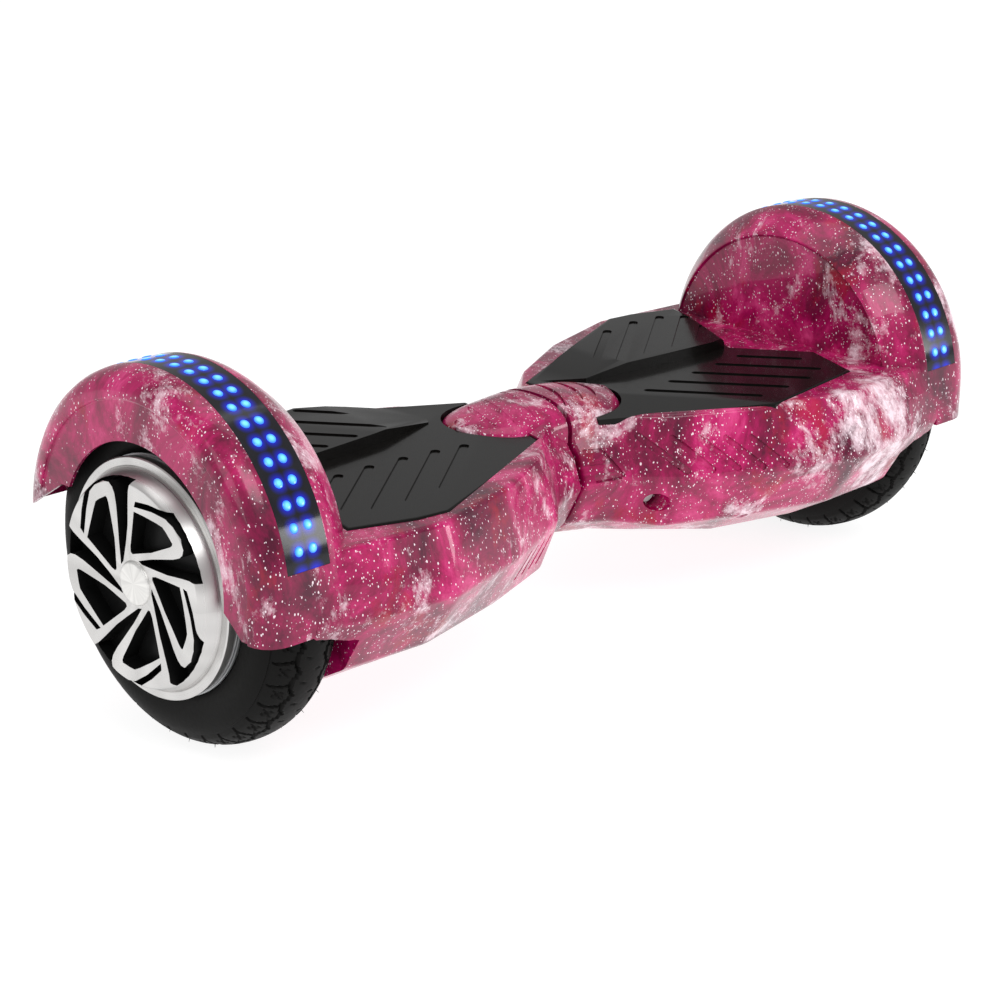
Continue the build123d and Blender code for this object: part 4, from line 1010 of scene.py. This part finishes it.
def panel_material(colours):
    """Smoked gloss panel with a deep blue glow round each lamp."""
    material, tree, shader = start_material("smoked_panel_look")
    glow = lamp_mask(tree, 7.0, 0.22)
    soft = maths(tree, "POWER", glow, 1.7)
    tree.links.new(blend_colours(tree, soft, (0.0, 0.0, 0.0), colours.glow),
                   shader.inputs["Emission Color"])
    shader.inputs["Emission Strength"].default_value = 1.0
    haze = add(tree, "ShaderNodeTexNoise", {"Scale": 90.0, "Detail": 3.0, "Vector": add(
        tree, "ShaderNodeTexCoord").outputs["Object"]}).outputs[0]
    tree.links.new(ramp(tree, haze, ((0.3, (0.006, 0.006, 0.009)), (0.7, (0.012, 0.012, 0.017)))),
                   shader.inputs["Base Color"])
    tree.links.new(maths(tree, "MULTIPLY_ADD", haze, 0.06, 0.08), shader.inputs["Roughness"])
    shader.inputs["Specular IOR Level"].default_value = 0.35
    return material


def lamp_material(colours):
    """Lit lamp lens, brightest in the middle."""
    material, tree, shader = start_material("lamp_blue_look")
    core = lamp_mask(tree, 2.9, 0.5)
    tree.links.new(blend_colours(tree, core, colours.lamp_edge, colours.lamp_core),
                   shader.inputs["Emission Color"])
    shader.inputs["Emission Strength"].default_value = 1.15
    tree.links.new(blend_colours(tree, core, (0.01, 0.05, 0.25), (0.1, 0.3, 0.6)),
                   shader.inputs["Base Color"])
    shader.inputs["Roughness"].default_value = 0.12
    return material


def dress(material, *nodes):
    """Gives a material to nodes of the frame that stay as they are."""
    for node in nodes:
        data = frame["nodes"][node].data
        if not data.materials:
            data.materials.append(material)
        for n in range(len(data.materials)):
            data.materials[n] = material


# Settings

class BoardSizes(bpy.types.PropertyGroup):
    """Depths and heights of the moulded and cut details."""
    louvre_depth: FloatProperty(name="Louvre depth", description="Depth of the shell's slots",
                                default=0.0013, min=0.0002, unit="LENGTH")
    groove_depth: FloatProperty(name="Groove depth", description="Depth of the pad's grooves",
                                default=0.0009, min=0.0002, unit="LENGTH")
    tread_depth: FloatProperty(name="Tread depth", description="Depth of the tyre's grooves",
                               default=0.0022, min=0.0005, unit="LENGTH")
    whiskers: IntProperty(name="Whiskers", description="Moulding whiskers on each tyre",
                          default=64, min=0)
    lens_height: FloatProperty(name="Lens height", description="Rise of each lamp lens",
                               default=0.0006, min=0.0001, unit="LENGTH")


def colour_setting(name, description, default):
    """A colour a user would change."""
    return FloatVectorProperty(name=name, description=description, default=default, size=3,
                               min=0.0, max=4.0, subtype="COLOR")


class BoardColours(bpy.types.PropertyGroup):
    """Colours of the print, the blacks, the metal and the lamps."""
    print_dark: colour_setting("Print dark", "Darkest tone", (0.075, 0.0006, 0.020))
    print_mid: colour_setting("Print middle", "Middle tone", (0.25, 0.0015, 0.055))
    print_light: colour_setting("Print light", "Lighter tone", (0.47, 0.005, 0.115))
    print_pink: colour_setting("Print pink", "Pink tone", (0.75, 0.06, 0.25))
    print_red: colour_setting("Print red", "Red patches", (0.42, 0.003, 0.022))
    print_cloud: colour_setting("Print cloud", "Pale clouds", (1.0, 0.80, 0.88))
    pad_black: colour_setting("Pad black", "Foot pad", (0.006, 0.0055, 0.005))
    rubber: colour_setting("Rubber", "Tyres", (0.006, 0.0058, 0.0055))
    silver: colour_setting("Silver", "Wheel face", (0.62, 0.61, 0.60))
    lamp_core: colour_setting("Lamp middle", "Middle of a lit lamp", (0.12, 0.55, 1.0))
    lamp_edge: colour_setting("Lamp edge", "Edge of a lit lamp", (0.0, 0.13, 0.95))
    glow: colour_setting("Glow", "Glow round the lamps", (0.0, 0.008, 0.62))


# Operators

# Name, place, aim, size and power of each soft light, and the camera, all in metres
LIGHTS = (
    ("key", (-0.5, -1.9, 2.2), (0, 0, 0.1), (1.6, 1.0), 26.0),
    ("front strip", (2.3, -2.5, 0.75), (0.08, -0.05, 0.1), (1.2, 0.8), 26.0),
    ("top", (0.2, 0.3, 2.6), (0, 0, 0.1), (2.4, 1.4), 14.0),
    ("left", (-2.6, -0.2, 1.1), (-0.3, 0, 0.1), (1.2, 1.2), 8.0),
)
ROOM_LIGHT = 0.5
FLOOR_HALF = 6.0
EYE, TARGET = Vector((-1.1371, -1.1213, 0.6445)), Vector((-0.02589, 0.0, 0.0815))
CAMERA_ROLL = radians(0.78)
SENSOR_WIDTH, LENS_LENGTH = 36.0, 100.97


class BOARD_OT_stage(bpy.types.Operator):
    """Lay the floor, and place the lights and the camera"""
    bl_idname = "board.stage"
    bl_label = "Stage"

    def execute(self, context):
        """Builds the stage."""
        scene = context.scene
        scene.view_settings.view_transform = "Standard"
        world = bpy.data.worlds.new("studio")
        scene.world = world
        world.use_nodes = True
        back = world.node_tree.nodes["Background"]
        back.inputs[0].default_value = (1.0, 1.0, 1.0, 1.0)
        back.inputs[1].default_value = ROOM_LIGHT
        bm = bmesh.new()
        bmesh.ops.create_grid(bm, x_segments=8, y_segments=8, size=FLOOR_HALF)
        mesh = bpy.data.meshes.new("floor")
        bm.to_mesh(mesh)
        bm.free()
        floor = bpy.data.objects.new("floor", mesh)
        scene.collection.objects.link(floor)
        look = plain_finish("floor_look", (0.30, 0.30, 0.30), 0.9, scale=40.0, uneven=0.02,
                            bump=0.01)
        shader = look.node_tree.nodes["Principled BSDF"]
        shader.inputs["Emission Color"].default_value = (1.0, 1.0, 1.0, 1.0)
        shader.inputs["Emission Strength"].default_value = 0.88
        mesh.materials.append(look)
        for name, place, aim, size, power in LIGHTS:
            light = bpy.data.lights.new(name, "AREA")
            light.shape = "RECTANGLE"
            light.size, light.size_y = size
            light.energy = power
            lamp = bpy.data.objects.new(name, light)
            scene.collection.objects.link(lamp)
            lamp.location = place
            lamp.rotation_euler = (Vector(aim) - Vector(place)).to_track_quat("-Z", "Y") \
                .to_euler()
        camera_data = bpy.data.cameras.new("camera")
        camera_data.sensor_width = SENSOR_WIDTH
        camera_data.lens = LENS_LENGTH
        camera_data.clip_start = 0.05
        camera = bpy.data.objects.new("camera", camera_data)
        scene.collection.objects.link(camera)
        camera.location = EYE
        aim = (TARGET - EYE).to_track_quat("-Z", "Y")
        camera.rotation_euler = (aim.to_matrix().to_4x4()
                                 @ Matrix.Rotation(CAMERA_ROLL, 4, "Z")).to_euler()
        scene.camera = camera
        return {"FINISHED"}


class BOARD_OT_shells(bpy.types.Operator):
    """Build the printed upper and lower shells of both halves"""
    bl_idname = "board.shells"
    bl_label = "Shells"

    def execute(self, context):
        """Builds the shells."""
        sizes, colours = context.scene.board_sizes, context.scene.board_colours
        look = print_material(colours)
        depth = sizes.louvre_depth / MM
        for side, turn, front in SIDES:
            for part, build in (("upper", upper_shell), ("lower", lower_shell)):
                finish_piece(f"{side}_{part}_shell_skin", build(front, depth), [look],
                             f"{side}_half", turn, [f"{side}_{part}_shell"])
        return {"FINISHED"}


class BOARD_OT_pads(bpy.types.Operator):
    """Build the black foot pads"""
    bl_idname = "board.pads"
    bl_label = "Foot pads"

    def execute(self, context):
        """Builds the pads."""
        sizes, colours = context.scene.board_sizes, context.scene.board_colours
        look = plain_finish("pad_black_look", colours.pad_black, 0.18, scale=180.0,
                            uneven=0.4, bump=0.03, coat=0.1)
        for side, turn, _ in SIDES:
            finish_piece(f"{side}_tread_pad", foot_pad(side, sizes.groove_depth / MM), [look],
                         f"{side}_pad", turn, [f"{side}_foot_pad"])
        return {"FINISHED"}


class BOARD_OT_tyres(bpy.types.Operator):
    """Build the treaded tyres"""
    bl_idname = "board.tyres"
    bl_label = "Tyres"

    def execute(self, context):
        """Builds the tyres."""
        sizes, colours = context.scene.board_sizes, context.scene.board_colours
        look = plain_finish("tyre_rubber_look", colours.rubber, 0.52, scale=420.0,
                            uneven=0.5, bump=0.22)
        for side, turn, _ in SIDES:
            finish_piece(f"{side}_treaded_tyre", tyre(sizes.tread_depth / MM, sizes.whiskers),
                         [look], f"{side}_wheel", turn, [f"{side}_tyre"],
                         sharp=38.0, weighted=False)
        return {"FINISHED"}


class BOARD_OT_wheel_faces(bpy.types.Operator):
    """Build the machined wheel faces and dress their hub caps"""
    bl_idname = "board.wheel_faces"
    bl_label = "Wheel faces"

    def execute(self, context):
        """Builds the wheel faces."""
        colours = context.scene.board_colours
        bright = turned_metal("rim_silver_look", colours.silver, 0.3)
        black = plain_finish("pocket_black_look", (0.008, 0.008, 0.008), 0.32, scale=260.0,
                             uneven=0.5, bump=0.08)
        cap = turned_metal("hub_cap_look", (0.78, 0.77, 0.75), 0.42)
        for side, turn, _ in SIDES:
            finish_piece(f"{side}_wheel_face", wheel_cover(), [bright, black],
                         f"{side}_wheel", turn, [f"{side}_spoke_cover"],
                         sharp=24.0)
            dress(cap, f"{side}_hub_cap")
        return {"FINISHED"}


class BOARD_OT_lamps(bpy.types.Operator):
    """Build the lamp lenses and light the panels"""
    bl_idname = "board.lamps"
    bl_label = "Lamps"

    def execute(self, context):
        """Builds the lamps."""
        sizes, colours = context.scene.board_sizes, context.scene.board_colours
        panel, lamp = panel_material(colours), lamp_material(colours)
        for side, turn, front in SIDES:
            finish_piece(f"{side}_lamp_domes", lamp_domes(front, sizes.lens_height / MM), [lamp],
                         f"{side}_half", turn, [f"{side}_led_lenses"],
                         weighted=False)
            dress(panel, f"{side}_led_panel")
        return {"FINISHED"}


class BOARD_OT_inner_parts(bpy.types.Operator):
    """Give every part inside the shells its finish"""
    bl_idname = "board.inner_parts"
    bl_label = "Inner parts"

    def execute(self, context):
        """Dresses the inner parts."""
        # Colour, roughness, metal, grain size, unevenness, bump and coat of each slot
        finishes = {
            "cast_alloy": ((0.50, 0.51, 0.52), 0.48, 0.9, 500.0, 0.3, 0.25, 0.0),
            "steel": ((0.48, 0.48, 0.50), 0.30, 1.0, 700.0, 0.2, 0.08, 0.0),
            "laminated_iron": ((0.16, 0.16, 0.18), 0.42, 0.8, 900.0, 0.5, 0.3, 0.0),
            "copper_wire": ((0.72, 0.30, 0.10), 0.28, 1.0, 800.0, 0.4, 0.3, 0.0),
            "circuit_board": ((0.015, 0.12, 0.05), 0.3, 0.0, 260.0, 0.8, 0.1, 0.3),
            "soft_rubber": ((0.02, 0.02, 0.02), 0.6, 0.0, 400.0, 0.5, 0.2, 0.0),
            "cable_sheath": ((0.015, 0.015, 0.015), 0.5, 0.0, 500.0, 0.4, 0.15, 0.0),
            "bush_plastic": ((0.78, 0.75, 0.66), 0.4, 0.0, 300.0, 0.15, 0.08, 0.0),
            "battery_wrap": ((0.02, 0.08, 0.36), 0.22, 0.0, 120.0, 0.3, 0.35, 0.3),
            "strap_black": ((0.02, 0.02, 0.02), 0.55, 0.0, 600.0, 0.5, 0.4, 0.0),
            "board_black": ((0.02, 0.02, 0.022), 0.35, 0.0, 350.0, 0.5, 0.1, 0.0),
            "socket_black": ((0.015, 0.015, 0.016), 0.3, 0.0, 300.0, 0.4, 0.06, 0.1),
            "button_grey": ((0.62, 0.62, 0.62), 0.28, 0.0, 240.0, 0.1, 0.04, 0.3),
        }
        for row in frame["record"]["subparts"]:
            slot = row["material_slot"]
            if slot in finishes:
                dress(plain_finish(slot + "_look", *finishes[slot]), row["node"])
        return {"FINISHED"}


STEPS = (BOARD_OT_stage, BOARD_OT_shells, BOARD_OT_pads, BOARD_OT_tyres, BOARD_OT_wheel_faces,
         BOARD_OT_lamps, BOARD_OT_inner_parts)


class BOARD_PT_sidebar(bpy.types.Panel):
    """The board's sizes, colours and building steps"""
    bl_idname = "BOARD_PT_sidebar"
    bl_label = "Balance board"
    bl_space_type = "VIEW_3D"
    bl_region_type = "UI"
    bl_category = "Board"

    def draw(self, context):
        """Lists the settings and the steps."""
        layout = self.layout
        for group in (context.scene.board_sizes, context.scene.board_colours):
            for name in group.__annotations__:
                layout.prop(group, name)
        for step in STEPS:
            layout.operator(step.bl_idname)


CLASSES = (BoardSizes, BoardColours) + STEPS + (BOARD_PT_sidebar,)


def register():
    """Adds the classes and the settings."""
    for item in CLASSES:
        bpy.utils.register_class(item)
    bpy.types.Scene.board_sizes = PointerProperty(type=BoardSizes)
    bpy.types.Scene.board_colours = PointerProperty(type=BoardColours)


def unregister():
    """Takes them away again."""
    del bpy.types.Scene.board_colours
    del bpy.types.Scene.board_sizes
    for item in reversed(CLASSES):
        bpy.utils.unregister_class(item)


def main():
    """Builds everything in order."""
    register()
    for step in (bpy.ops.board.stage, bpy.ops.board.shells, bpy.ops.board.pads,
                 bpy.ops.board.tyres, bpy.ops.board.wheel_faces, bpy.ops.board.lamps,
                 bpy.ops.board.inner_parts):
        step()


if __name__ == "__main__":
    main()
